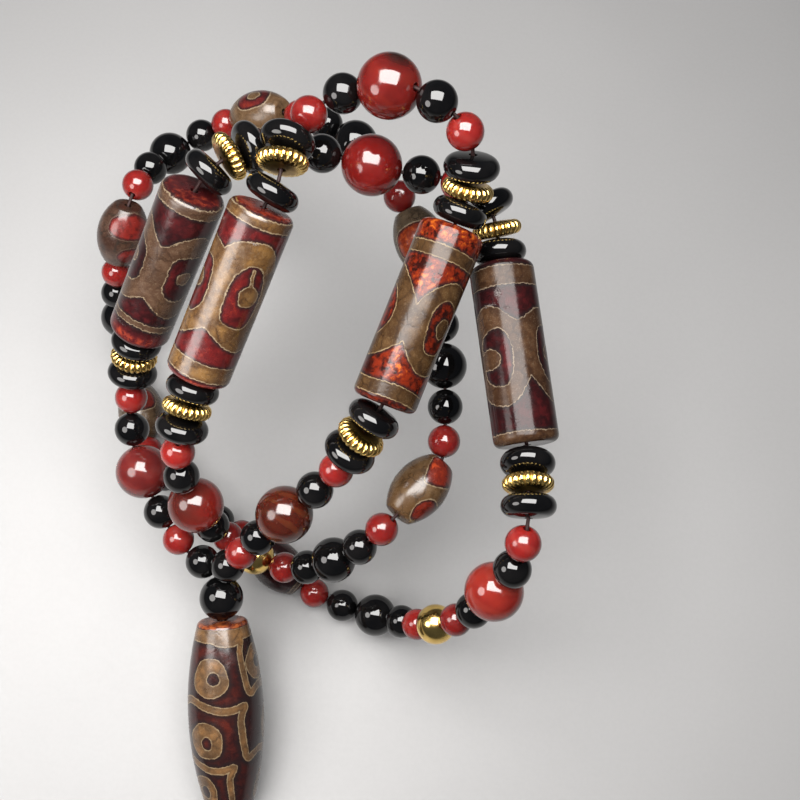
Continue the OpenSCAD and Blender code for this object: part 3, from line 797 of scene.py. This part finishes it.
# Tube dzi: lobes are (degrees, mm, 0), cusps (degrees, mm, sharpness); eyes and dots (degrees, mm, half
# sizes)
tubes = {
    "tube_dzi_1": {
        "upper": [(43, 12.2, 0), (104, 7, 1.2), (164, 12, 0), (-136, 7, 1.2), (-75, 12, 0),
            (-16, 7.6, 1.3)],
        "lower": [(43, -9.6, 0), (104, -6, 1.2), (164, -9.5, 0), (-136, -6, 1.2), (-75, -9.4, 0),
            (-16, -6.0, 1.3)],
        "eyes": [(43, 1.2, 34, 5.7), (-75, 1.0, 36, 5.7), (164, 1.0, 34, 5.6)],
        "dots": [(43, 1.3, 14, 1.7), (-75, 1.2, 15, 1.8), (164, 1.2, 14, 1.7)],
        "bands": [(16.1, 18.5, 0.15), (-14.0, -12.2, 0.35)],
        "ember": (0.3, [(-10, 14, 40, 2.5, 0.3), (14, 1, 14, 4, 0.55), (0, -16.8, 200, 1.5, 0.9),
            (0, 19, 200, 1, 0.8), (-20, -10, 40, 2, 0.25)]),
        "wear": [(-40, -14.6, 30, 1.0, 0.7)],
        "look": {
            "tan": (0.036, 0.0195, 0.0115), "tanDeep": (0.021, 0.0105, 0.006),
            "pale": (0.124, 0.0952, 0.0619), "dark": (0.0047, 0.0015, 0.0017),
            "red": (0.027, 0.0034, 0.0038), "glow": (0.11, 0.016, 0.008), "crack": (0.012, 0.006, 0.0034),
            "ragged": 1.3, "line": 0.2, "shine": 0.42,
        },
    },
    "tube_dzi_2": {
        "upper": [(25, 11.6, 0), (95, 6.4, 1.0), (156, 11.5, 0), (-140, 6.5, 1.0), (-80, 11.4, 0),
            (-25, 6.1, 0.95)],
        "lower": [(40, -9.6, 0), (95, -6, 1.2), (156, -9.5, 0), (-140, -6, 1.2), (-70, -8.4, 0),
            (-15, -5.8, 1.3)],
        "eyes": [(33, 1.3, 31.5, 5.8), (-80, 1.0, 33, 5.8), (156, 1.0, 33, 5.6)],
        "dots": [(49, 1.5, 27, 2.2), (-80, 1.2, 17, 2.0), (156, 1.2, 16, 2.0)],
        "bands": [(16.6, 19.4, 0.12), (-17.5, -13.2, 0.15)],
        "ember": (0.32, [(10, 3, 12, 5, 0.6), (-5, -9, 30, 2.5, 0.35), (-30, 13, 40, 2.5, 0.2),
            (0, 19.2, 200, 0.8, 0.5)]),
        "wear": [(12, -11.6, 10, 1.6, 1.02), (34, -9.5, 22, 0.7, 0.85), (0, -8.4, 12, 0.7, 0.85)],
        "look": {
            "tan": (0.03, 0.0146, 0.007), "tanDeep": (0.0165, 0.0076, 0.0038),
            "pale": (0.119, 0.0929, 0.0643), "dark": (0.0047, 0.0017, 0.0019),
            "red": (0.025, 0.0032, 0.0036), "glow": (0.07, 0.009, 0.006), "crack": (0.0105, 0.0048, 0.0028),
            "ragged": 1.1, "line": 0.18, "shine": 0.14, "crackSize": 2.6, "crackWidth": 0.16, "clean": 0.13,
            "smudged": 0.22,
        },
    },
    "tube_dzi_3": {
        "upper": [(28, 13.9, 0), (89, 5.5, 1.1), (152, 12, 0), (-144, 7, 1.2), (-80, 11.2, 0),
            (-38, 10.1, 0.8)],
        "lower": [(54, -10.0, 0), (95, -6, 1.2), (152, -9.5, 0), (-144, -6, 1.2), (-82, -10.4, 0),
            (-17, -6.6, 1.25)],
        "eyes": [(26, 1.8, 31, 6.6), (-76, 1.0, 36, 6.0), (152, 1.0, 34, 5.8)],
        "dots": [(33, 2.4, 19, 2.3), (-80, 1.7, 20, 2.0), (152, 1.5, 16, 2.0)],
        "strokes": [([(33, 4), (27, 6.2), (25, 8.0)], 0.42)],
        "bands": [(16.2, 18.5, 0.12), (-17.4, -13.6, 0.12)],
        "ember": (0.6, [(10, 1, 14, 5, 0.4), (-25, 13.5, 25, 2.2, 0.35), (-10, -11, 45, 2.5, 0.35),
            (0, 19.2, 200, 0.7, 1.2), (0, -18.8, 200, 1.0, 1.2)]),
        "wear": [(8, 13.2, 20, 0.7, 0.8)],
        "look": {
            "tan": (0.075, 0.038, 0.0115), "tanDeep": (0.03, 0.014, 0.0052), "pale": (0.143, 0.112, 0.0714),
            "dark": (0.0064, 0.0015, 0.0017), "red": (0.04, 0.0034, 0.0034), "glow": (0.13, 0.016, 0.007),
            "crack": (0.0171, 0.0077, 0.0031), "ragged": 0.9, "line": 0.2, "crackSize": 3.4,
            "crackWidth": 0.12, "shine": 0.52,
        },
    },
    "tube_dzi_4": {
        "upper": [(-50, 11.2, 0), (8, 6.2, 0.85), (88, 11.2, 0), (144, 7, 1.0), (-161, 11, 0),
            (-106, 7, 1.0)],
        "lower": [(-50, -8.6, 0), (10, -1.7, 0.8), (88, -9.0, 0), (144, -5, 1.0), (-161, -9, 0),
            (-106, -5, 1.0)],
        "eyes": [(-49, 1.0, 27, 5.5), (88, 1.0, 40, 5.4), (-161, 1.0, 34, 5.5)],
        "dots": [(-54, 1.0, 15, 2.2), (90, 1.5, 15, 1.8), (-161, 1.2, 16, 2.0)],
        "bands": [(14.9, 17.9, 0.45), (-14.2, -11.4, 0.2)],
        # painted shade: the wide negative spots at 60 and 75 degrees take the glow out of the side that lies
        # in the shade of the next tube
        "ember": (0.6, [(0, 10, 20, 4, 0.4), (10, -6.5, 22, 3.5, 0.35), (60, 0, 40, 12, -0.2),
            (0, -17, 200, 2.0, 0.3), (-40, 1, 14, 4, -0.3), (75, 13, 40, 2, -0.35),
            (0, 19, 200, 0.8, -0.2)]),
        "look": {
            "tan": (0.036, 0.0185, 0.007), "tanDeep": (0.0175, 0.0085, 0.0035),
            "pale": (0.131, 0.0952, 0.0524), "dark": (0.0086, 0.0017, 0.0013),
            "red": (0.0643, 0.0064, 0.0021), "glow": (0.202, 0.0452, 0.0048),
            "crack": (0.0103, 0.0051, 0.0024), "ragged": 0.8, "line": 0.2, "flakeScale": 1.1,
            "flakeShare": 1.0, "shine": 0.2, "clean": 0.13, "smudged": 0.24,
        },
    },
}


tubeCommon = {"strokes": [], "wear": [], "uneven": 0.006, "bareEnd": 1.2, "bare": -1.5}


def writeEtched(node, surface, look, shift, etch, pattern):
    # the etching, the glow and the wear go along as attributes of the points
    points, faces, (radius, height, angle) = surface
    degrees = np.degrees(angle)
    base, spots = pattern["ember"]
    material = dziMaterial(f"{node}_etched", look, shift)
    writePiece(f"{node}_stone", [(points, faces)], material, [node], {
        "etch": etch, "ember": softSpots(base, degrees, height, spots),
        "wear": softSpots(0, degrees, height, pattern["wear"])})


def buildTubes():
    across = beadSizes["tube"]["across"]
    for number, k in enumerate(indexesOf("tube"), 1):
        node = f"tube_dzi_{number}"
        pattern = {**tubeCommon, **tubes[node]}
        surface = beadSurface("tube", *places[k], slightlyUneven(number, pattern["uneven"]))
        radius, height, angle = surface[2]
        etch = tubeField(pattern, number, np.degrees(angle), height, np.pi * across)
        inner = radius < across / 2 - pattern["bareEnd"]   # the flat ends show bare red stone
        writeEtched(node, surface, pattern["look"], (7.3 * number, -3.1 * number, 5.7 * number),
                    np.where(inner, pattern["bare"], etch), pattern)


# Oval dzi: the pale skin is everywhere but in the cuts; discs and dots are pale again inside them
ovals = {
    "oval_dzi_1": {
        "skin": False, "cuts": [], "discs": [(-100, 0, 30, 3.0), (140, 0, 34, 3.4)],
        "pupils": [(-100, 0, 12, 1.2), (140, 0, 13, 1.3)], "bands": [(-7.4, -6.2, 0.1), (6.0, 7.2, 0.1)],
        "ember": (0.35, [(-20, 4, 30, 2, 0.4)]),
        "look": {
            "tan": (0.0291, 0.0171, 0.0103), "tanDeep": (0.0171, 0.0094, 0.006),
            "pale": (0.0962, 0.0733, 0.0505), "dark": (0.0046, 0.0018, 0.0021),
            "red": (0.0251, 0.0046, 0.0041), "glow": (0.0686, 0.0114, 0.0069),
            "crack": (0.0086, 0.0051, 0.0034),
        },
    },
    "oval_dzi_2": {
        "cuts": [(0, 0.5, 40, 3.8), (122, 0, 38, 3.8), (-120, 0, 40, 3.8)],
        "discs": [(0, 0.5, 15, 1.5), (122, 0, 15, 1.5), (-120, 0, 15, 1.5)], "ember": (0.7, []),
        "look": {
            "tan": (0.0446, 0.0274, 0.0146), "tanDeep": (0.0257, 0.0146, 0.0077),
            "pale": (0.114, 0.0867, 0.0548), "dark": (0.0069, 0.0018, 0.0018),
            "red": (0.0571, 0.0069, 0.0046), "glow": (0.137, 0.0229, 0.0069),
            "crack": (0.0137, 0.0077, 0.0034),
        },
    },
    "oval_dzi_3": {
        "cuts": [(22, 4.2, 62, 3.0), (40, -3.4, 42, 2.6), (150, 0, 40, 3.8), (-120, 0, 36, 3.8)],
        "discs": [(150, 0, 15, 1.5), (-120, 0, 15, 1.5)], "ember": (0.75, []),
        "wear": [(20, 3, 60, 3, 0.5)],
        "look": {
            "tan": (0.035, 0.019, 0.0125), "tanDeep": (0.015, 0.0066, 0.0044), "pale": (0.075, 0.05, 0.034),
            "dark": (0.005, 0.0027, 0.0025), "red": (0.07, 0.006, 0.0045), "glow": (0.16, 0.014, 0.008),
            "crack": (0.0086, 0.0069, 0.0051), "paleShare": 0.3, "ragged": 0.8,
        },
    },
    "oval_dzi_4": {
        "cuts": [(-58, 1.2, 40, 4.3), (62, 0.5, 38, 4.2), (180, 0, 38, 4.2)],
        "discs": [(-58, 1.6, 15, 1.8), (62, 0.8, 15, 1.7), (180, 0, 15, 1.6)],
        "ember": (0.55, [(-30, 1, 12, 3, 0.5)]),
        "look": {
            "tan": (0.066, 0.0375, 0.018), "tanDeep": (0.0411, 0.0225, 0.0105),
            "pale": (0.142, 0.11, 0.0733), "dark": (0.0069, 0.0021, 0.0021), "red": (0.0457, 0.005, 0.0046),
            "glow": (0.0962, 0.0137, 0.0069), "crack": (0.024, 0.0129, 0.006),
        },
    },
    "oval_dzi_5": {
        "cuts": [(5, 0.2, 58, 3.9), (125, 0, 34, 3.8), (-115, 0, 34, 3.8)],
        "discs": [(-10, 2.6, 16, 2.6), (125, 0, 14, 1.5), (-115, 0, 14, 1.5)],
        "ember": (1.0, [(-30, 0, 25, 2, 0.3)]),
        "look": {
            "tan": (0.0429, 0.0291, 0.0171), "tanDeep": (0.0223, 0.0146, 0.0086),
            "pale": (0.126, 0.1, 0.0686), "dark": (0.0069, 0.0021, 0.0018), "red": (0.0638, 0.008, 0.0027),
            "glow": (0.171, 0.0343, 0.0069), "crack": (0.012, 0.0069, 0.0034), "flakeScale": 1.3,
        },
    },
    "oval_dzi_6": {
        "cuts": [(-56, 4.0, 34, 3.0), (112, -0.5, 28, 4.5), (180, 0, 26, 4.6)],
        "discs": [(180, 0, 11, 1.6)],
        "shapes": [[(26, -7.6), (24, -5.4), (14, -3.2), (2, -0.8), (-14, -1.0), (-38, -2.4), (-62, -3.8),
            (-84, -5.0), (-84, -7.6)]],
        "ember": (0.5, [(10, -4.5, 40, 2.6, 0.8), (-30, 2, 10, 4, 0.4)]), "wear": [(28, 2.5, 10, 2, 0.8)],
        "look": {
            "tan": (0.052, 0.03, 0.0135), "tanDeep": (0.034, 0.017, 0.0065),
            "pale": (0.126, 0.0981, 0.0619), "dark": (0.006, 0.0021, 0.0021),
            "red": (0.0686, 0.0069, 0.0032), "glow": (0.178, 0.0229, 0.0069),
            "crack": (0.0154, 0.0086, 0.0038),
        },
    },
}


ovalCommon = {"skin": True, "shapes": [], "pupils": [], "bands": [], "wear": [], "uneven": 0.008}


def ovalField(pattern, seed, angle, height, girth):
    # the skin less the cuts and shapes, joined with the discs, less their pupils, joined with the bands
    scale = girth / 360
    u = angle * scale
    inside = lambda shape: roundTheBead(insideDistance, u, height, girth, shape)
    shapes = [eyeOutline(scale, *cut, square=2.3, seed=seed + k) for k, cut in enumerate(pattern["cuts"])]
    shapes += [smoothLine(np.array(shape, float) * (scale, 1), True) for shape in pattern["shapes"]]
    net = np.full(u.shape, 3.0 if pattern["skin"] else -3.0)
    for shape in shapes:
        net = np.minimum(net, -inside(shape))
    for k, disc in enumerate(pattern["discs"]):
        net = np.maximum(net, inside(eyeOutline(scale, *disc, square=2.1, seed=seed + k + 4)))
    for k, pupil in enumerate(pattern["pupils"]):
        net = np.minimum(net, -inside(eyeOutline(scale, *pupil, square=2.1, seed=seed + k + 8)))
    for low, high, sway in pattern["bands"]:
        shift = sway * np.sin(np.radians(angle) * 3 + seed)
        net = np.maximum(net, np.minimum(height - low - shift, high + shift - height))
    return net


def buildOvals():
    for number, k in enumerate(indexesOf("oval"), 1):
        node = f"oval_dzi_{number}"
        pattern = {**ovalCommon, **ovals[node]}
        surface = beadSurface("oval", *places[k], slightlyUneven(number + 9, pattern["uneven"]))
        radius, height, angle = surface[2]
        etch = ovalField(pattern, number, np.degrees(angle), height, np.pi * beadSizes["oval"]["across"])
        writeEtched(node, surface, pattern["look"], (-5.3 * number, 8.1 * number, 3.7 * number),
                    etch, pattern)


# Pendant dzi: a stair line that steps down every third of a turn, with a ringed disc in each cell
pendant = {
    "stair": [(-35, 9.2), (-28, 7.6), (-23, 2.5), (-22, -0.8), (-29, -3.4), (-12, -2.9), (10, -2.9),
        (35, -3.9), (60, -5.0), (76, -4.4)],
    "turn": 120, "drop": -12.9, "rows": [(-8, -15.2), (0, 0), (20, 14.2), (40, 28.4)], "discRows": 42.6,
    "halfWidth": 0.95, "discs": [(25, -10.3, 31, 4.6), (35, 4.3, 29, 4.4), (52, 17.2, 29, 4.2)],
    "pupils": [(19, -10.2, 10, 1.4), (33, 4.8, 8, 1.5), (50, 17.2, 10, 1.5)],
    "collar": (-21.2, -18.2, 0.15), "bareEnd": 21.25, "bareBore": 5.4, "bare": -1.5,
    "ember": (0.36, [(25, -14, 30, 4, 0.3), (10, -1, 25, 5, 0.3), (-70, -10, 25, 8, -0.45),
        (-60, 6, 25, 9, -0.3), (0, -22, 200, 1.1, 1.3), (0, 22, 200, 1.1, 1.0), (33, 4.8, 9, 1.6, 0.6)]),
    "look": {
        "tan": (0.091, 0.0455, 0.0172), "tanDeep": (0.036, 0.0195, 0.0092), "pale": (0.131, 0.1, 0.06),
        "dark": (0.0063, 0.0023, 0.0026), "red": (0.033, 0.0058, 0.0037), "glow": (0.13, 0.032, 0.0086),
        "crack": (0.0214, 0.0114, 0.0057), "ragged": 0.6, "line": 0.22, "paleShare": 0.62, "crackSize": 3.8,
        "halo": 1.7,
    },
}


def pendantField(angle, height, girth):
    # stair lines and discs joined, less the pupils, joined with the collar, over bare stone at the ends
    scale = girth / 360
    u = angle * scale
    net = np.full(u.shape, -9.0)
    step = np.array((pendant["turn"], pendant["drop"]))
    unitStair = np.array(pendant["stair"], float)
    stair = smoothLine(np.vstack([unitStair + turn * step for turn in range(-3, 4)]), False, 4)
    for row in pendant["rows"]:
        line = (stair + row) * (scale, 1)
        line = line[(np.abs(line[:, 1]) < 30) & (np.abs(line[:, 0]) < girth)]
        net = np.maximum(net, pendant["halfWidth"] - lineDistance(u, height, line))

    def ringed(shapes, turn, seed):
        for k, (degrees, up, halfAngle, halfHeight) in enumerate(shapes):
            for row in (-1, 0, 1):
                raised = up + turn * step[1] + row * pendant["discRows"]
                shape = eyeOutline(scale, degrees + turn * step[0], raised, halfAngle, halfHeight,
                                   square=2.1, seed=k + seed)
                yield insideDistance(u, height, shape)

    for turn in range(-2, 3):
        for disc in ringed(pendant["discs"], turn, turn):
            net = np.maximum(net, disc)
        for pupil in ringed(pendant["pupils"], turn, 0):
            net = np.minimum(net, -pupil)
    low, high, sway = pendant["collar"]
    shift = sway * np.sin(np.radians(angle) * 2 + 1)
    net = np.maximum(net, np.minimum(height - low, high + shift - height))
    return np.where(np.abs(height) > pendant["bareEnd"], pendant["bare"], net)


def buildPendant():
    start = junction + dropAxis * (drape["junctionGap"] + beadSizes["junction"]["long"] + drape["beadGap"])
    end = start + dropAxis * beadSizes["pendant"]["long"]
    surface = beadSurface("pendant", start, end, slightlyUneven(3.3, 0.006))
    radius, height, angle = surface[2]
    etch = pendantField(np.degrees(angle), height, np.pi * beadSizes["pendant"]["across"])
    writeEtched("pendant_dzi", surface, pendant["look"], (2, 9, -4),
                np.where(radius < pendant["bareBore"], pendant["bare"], etch), {**pendant, "wear": []})


buildPendant()
buildTubes()
buildOvals()
print("etched stones built")


# Large red agates; a patch is (right, up, toward the camera, how wide, how strong)
largeReds = {
    "large_red_1": {
        "red": (0.056, 0.006, 0.0054), "deep": (0.0352, 0.0044, 0.004), "band": (0.0791, 0.0154, 0.0132),
        "toned": (0.0176, 0.0026, 0.0026), "patch": (-0.7, -0.5, 0.2, 0.5, 0.6), "bandShare": 0.3,
    },
    "large_red_2": {
        "red": (0.068, 0.0042, 0.0035), "deep": (0.048, 0.0019, 0.0016), "band": (0.08, 0.008, 0.0064),
        "toned": (0.032, 0.0016, 0.0016), "patch": (0.6, -0.6, 0.2, 0.5, 0.4), "bandShare": 0.2,
    },
    "large_red_3": {
        "red": (0.104, 0.0086, 0.0056), "deep": (0.0735, 0.0047, 0.0035), "band": (0.13, 0.0194, 0.013),
        "toned": (0.0432, 0.0026, 0.0022), "patch": (0.5, -0.7, 0.1, 0.5, 0.5), "bandShare": 0.35,
    },
    "large_red_4": {
        "red": (0.085, 0.005, 0.0034), "deep": (0.055, 0.0036, 0.0026), "band": (0.0531, 0.0094, 0.0062),
        "toned": (0.02, 0.0044, 0.0032), "patch": (-0.45, 0.15, 0.85, 1.05, 0.8), "bandShare": 0.35,
    },
    "large_red_5": {
        "red": (0.06, 0.0042, 0.0034), "deep": (0.038, 0.003, 0.0024), "band": (0.085, 0.0085, 0.0051),
        "toned": (0.0085, 0.0032, 0.0024), "patch": (0.3, 0.7, 0.63, 0.46, 0.95), "bandShare": 0.3,
    },
    "large_red_6": {
        "red": (0.028, 0.0044, 0.0022), "deep": (0.0161, 0.0027, 0.0015), "band": (0.062, 0.0161, 0.005),
        "toned": (0.0112, 0.0025, 0.0015), "patch": (-0.5, 0.2, 0.6, 0.5, 0.4), "bandShare": 0.28,
        "bandsPerMm": 2.0, "across": (0.25, 0.95, -0.1),
    },
}


def pictureDirection(right, up, toward):
    return unit(np.array((right, up, -toward)) @ np.array([view["right"], view["up"], view["forward"]]))


def buildLargeReds():
    for number, k in enumerate(indexesOf("largeRed"), 1):
        node = f"large_red_{number}"
        look = largeReds[node]
        points, faces, grid = beadSurface("largeRed", *places[k], slightlyUneven(number, 0.006))
        right, up, toward, wide, strong = look["patch"]
        way = (points - places[k].mean(0)) / (beadSizes["largeRed"]["across"] / 2)
        away = np.linalg.norm(way - pictureDirection(right, up, toward), axis=1)
        material = redMaterial(f"redAgate{number}", look, (6.1 * number, 2.9 * number, -4.3 * number))
        writePiece(f"{node}_stone", [(points, faces)], material, [node],
                   {"tone": strong * np.exp(-(away / wide) ** 4)})


smallReds = {
    "red": (0.108, 0.0066, 0.0056), "deep": (0.066, 0.0042, 0.0038), "band": (0.124, 0.0165, 0.0135),
    "toned": (0.0429, 0.0027, 0.0027), "bandShare": 0.4, "bandsPerMm": 1.6, "through": 0.4, "seed": 11,
    "mostToned": 0.55,
}


def buildSmallReds():
    chance = np.random.default_rng(smallReds["seed"])
    surfaces, tone = [], []
    for k in indexesOf("red"):
        points, faces, grid = beadSurface("red", *places[k])
        surfaces.append((points, faces))
        tone.append(np.full(len(points), smallReds["mostToned"] * chance.random() ** 2))
    writePiece("small_red_stones", surfaces, redMaterial("smallRedAgate", smallReds, (0, 0, 0)),
               ["small_red_beads"], {"tone": np.concatenate(tone)})


def writeBlack(name, kind, ends, node):
    surfaces = [beadSurface(kind, *pair)[:2] for pair in ends]
    writePiece(name, surfaces, blackOnyx, [node])


def buildBlacks():
    writeBlack("small_black_stones", "black", places[indexesOf("black")], "small_black_beads")
    for number, k in enumerate(indexesOf("largeBlack"), 1):
        writeBlack(f"large_black_{number}_stone", "largeBlack", [places[k]], f"large_black_{number}")
    writeBlack("black_rondelle_stones", "rondelle", places[indexesOf("rondelle")], "black_rondelles")
    top = junction + dropAxis * drape["junctionGap"]
    ends = (top, top + dropAxis * beadSizes["junction"]["long"])
    writeBlack("junction_stone", "junction", [ends], "junction_bead")


# Gold discs, in mm from the axis: where the ribs fade in, and where the dull colour starts and ends
goldDisc = {"ribsFrom": 3.5, "ribsFade": 0.9, "dullDepth": 0.5, "dullFrom": 3.2, "dullFade": 1.0,
            "faceTo": 3.9, "faceFade": 1.2, "faceDull": 0.7}


def ribDepth(angle):
    # how far each point of the outline of round bars set side by side lies inside the full radius
    size = beadSizes["spacer"]
    share = np.pi * size["overlap"] / size["ribs"]
    bar = size["across"] / 2 * share / (1 + share)
    middle = size["across"] / 2 - bar
    away = (angle + np.pi / size["ribs"]) % (2 * np.pi / size["ribs"]) - np.pi / size["ribs"]
    outline = middle * np.cos(away) + np.sqrt(bar ** 2 - (middle * np.sin(away)) ** 2)
    return size["across"] / 2 - outline


def ribbed(radius, height, angle):
    # ribs fade in over the outer part of the domed faces, as on beaded wire
    rim = np.clip((radius - goldDisc["ribsFrom"]) / goldDisc["ribsFade"], 0, 1)
    return radius - ribDepth(angle) * rim * rim * (3 - 2 * rim)


def writeGold(node, surface, valley):
    writePiece(f"{node}_metal", [surface[:2]], goldPolish, [node], {"valley": valley})


def buildGold():
    for number, k in enumerate(indexesOf("goldBall"), 1):
        surface = beadSurface("goldBall", *places[k])
        writeGold(f"gold_ball_{number}", surface, np.zeros(len(surface[0])))
    for number, k in enumerate(indexesOf("spacer"), 1):
        surface = beadSurface("spacer", *places[k], ribbed)
        radius, height, angle = surface[2]
        deep = np.clip(ribDepth(angle) / goldDisc["dullDepth"], 0, 1) ** 1.5
        deep = deep * np.clip((radius - goldDisc["dullFrom"]) / goldDisc["dullFade"], 0, 1)
        face = np.clip((goldDisc["faceTo"] - radius) / goldDisc["faceFade"], 0, 1) * goldDisc["faceDull"]
        writeGold(f"gold_spacer_{number}", surface, np.maximum(deep, face))


buildLargeReds()
buildSmallReds()
buildBlacks()
buildGold()
print("beads built")


# Thread: three plies twisted, straight through every bead, doubled through the drop, and knotted below it
thread = {"across": 0.8, "inset": 0.4, "pairGap": 0.1, "plies": 3, "twistMm": 3.2, "grooveDepth": 0.16,
          "step": 0.42, "around": 9}
knot = {"across": 4.2, "loop": 1.02, "wind": 0.52, "cord": 0.5, "winds": 3, "turns": 2, "points": 260,
        "plies": 3, "twistMm": 2.6, "grooveDepth": 0.14, "step": 0.12, "around": 12}


def carriedSides(tangents):
    # a side direction carried from ring to ring without twist
    sides, side = [], np.array([1.0, 0, 0])
    for tangent in tangents:
        side = unit(side - tangent * (side @ tangent))
        sides.append(side)
    return np.array(sides)


def writeCord(node, path, radius, cord):
    # radius = outline of the plies, turned as it goes along the path; both ends drawn to a point
    along = np.r_[0, np.cumsum(np.linalg.norm(np.diff(path, axis=0), axis=1))]
    s = np.linspace(0, along[-1], int(along[-1] / cord["step"]))
    centre = np.stack([np.interp(s, along, path[:, k]) for k in range(3)], 1)
    tangent = np.gradient(centre, axis=0)
    tangent /= np.linalg.norm(tangent, axis=1, keepdims=True)
    side = carriedSides(tangent)
    third = np.cross(tangent, side)
    angle = np.linspace(0, 2 * np.pi, cord["around"], endpoint=False)[None, :]
    turned = angle - 2 * np.pi * s[:, None] / (cord["twistMm"] * cord["plies"])
    groove = 1 - np.abs(np.cos(cord["plies"] * turned / 2))
    close = np.clip(np.minimum(s, s[-1] - s) / (radius * 0.8), 0, 1)[:, None]
    r = radius * (1 - cord["grooveDepth"] * groove ** 2) * np.sqrt(np.maximum(1 - (1 - close) ** 2, 0))
    points = (centre[:, None] + (r * np.cos(angle))[..., None] * side[:, None]
              + (r * np.sin(angle))[..., None] * third[:, None]).reshape(-1, 3)
    faces = loopFaces(len(s), cord["around"], closeRows=False)[:, ::-1]
    writePiece(f"{node}_cord", [(points, faces)], waxedThread, [node], {
        "groove": groove.ravel(), "across": turned.ravel(), "along": np.repeat(s, cord["around"])})


def buildThread():
    axes = np.array([unit(q - p) for p, q in places])
    across = axes[0] + axes[-1]
    side = unit(np.cross(dropAxis, np.cross(across, dropAxis)))
    offset = side * (thread["across"] + thread["pairGap"]) / 2
    knotTop = (drape["junctionGap"] + beadSizes["junction"]["long"] + beadSizes["pendant"]["long"]
               + 2 * drape["beadGap"])
    ends = knotTop + knot["across"] / 3 - drape["beadGap"], drape["junctionGap"] + thread["inset"]
    rings = [junction + dropAxis * d + offset for d in ends]
    for (p, q), axis in zip(places, axes):
        rings += [p + axis * thread["inset"], q - axis * thread["inset"]]
    rings += [junction + dropAxis * d - offset for d in ends[::-1]]
    writeCord("thread", np.array(rings), thread["across"] / 2, thread)
    # the knot is one cord wound three times round as it goes twice about its own ring
    t = np.linspace(0, 2 * np.pi, knot["points"])
    ring = knot["loop"] + knot["wind"] * np.cos(knot["winds"] * t)
    first = unit(np.cross(dropAxis, (1, 0, 0)))
    second = np.cross(dropAxis, first)
    middle = junction + dropAxis * (knotTop + knot["across"] / 4)
    turned = knot["turns"] * t
    path = (middle + (ring * np.cos(turned))[:, None] * first + (ring * np.sin(turned))[:, None] * second
            + (knot["wind"] * np.sin(knot["winds"] * t))[:, None] * dropAxis)
    writeCord("end_knot", path, knot["cord"], knot)


buildThread()
print("thread and knot built")


# A plain pale floor, soft studio light and the camera
def floorMaterial():
    # matt card with a very fine tooth
    material, tree, shader, place = startMaterial("paleCard")
    tooth = noiseAt(tree, place, 0.9, 4.0, 0.6)["Fac"]
    shade = ramp(tree, noiseAt(tree, place, 0.012, 2.0)["Fac"], 0.2, 0.8)
    base = np.array(light["floorColour"])
    colour = mixColour(tree, shade, tuple(base * 0.97), tuple(base * 1.03))
    setSockets(tree, shader, {
        "Base Color": colour, "Roughness": ramp(tree, tooth, 0.3, 0.7, 0.6, 0.75),
        "Normal": bumpFrom(tree, tooth, 0.08, 0.1),
    }, {"Specular IOR Level": 0.3})
    return material


def buildStage():
    far = light["floorReach"]
    sides = ((-1, -1), (1, -1), (1, 1), (-1, 1))
    corners = np.array([(x * far, y * far, light["floorHeight"]) for x, y in sides])
    mesh = bpy.data.meshes.new("floor")
    mesh.from_pydata((corners * mm).tolist(), [], [(0, 1, 2, 3)])
    mesh.materials.append(floorMaterial())
    floor = bpy.data.objects.new("floor", mesh)
    bpy.context.collection.objects.link(floor)
    world = bpy.data.worlds.new("room")
    world.use_nodes = True
    background = world.node_tree.nodes["Background"]
    background.inputs["Color"].default_value = (*light["roomColour"], 1)
    background.inputs["Strength"].default_value = light["roomStrength"]
    bpy.context.scene.world = world
    addLight("softbox", light["softboxPlace"], (*light["softboxPlace"][:2], 0), "RECTANGLE",
             light["softboxSize"], light["softboxPower"], light["softboxColour"])
    addLight("roundLamp", light["lampPlace"], light["lampAim"], "DISK", (light["lampAcross"],) * 2,
             light["lampPower"], light["lampColour"])
    addLight("tableFill", light["fillPlace"], light["fillAim"], "DISK", (light["fillAcross"],) * 2,
             light["fillPower"], light["softboxColour"], mirrored=False)
    bpy.context.scene.view_settings.view_transform = "Standard"


addCamera()
buildStage()
print("stage and camera set")
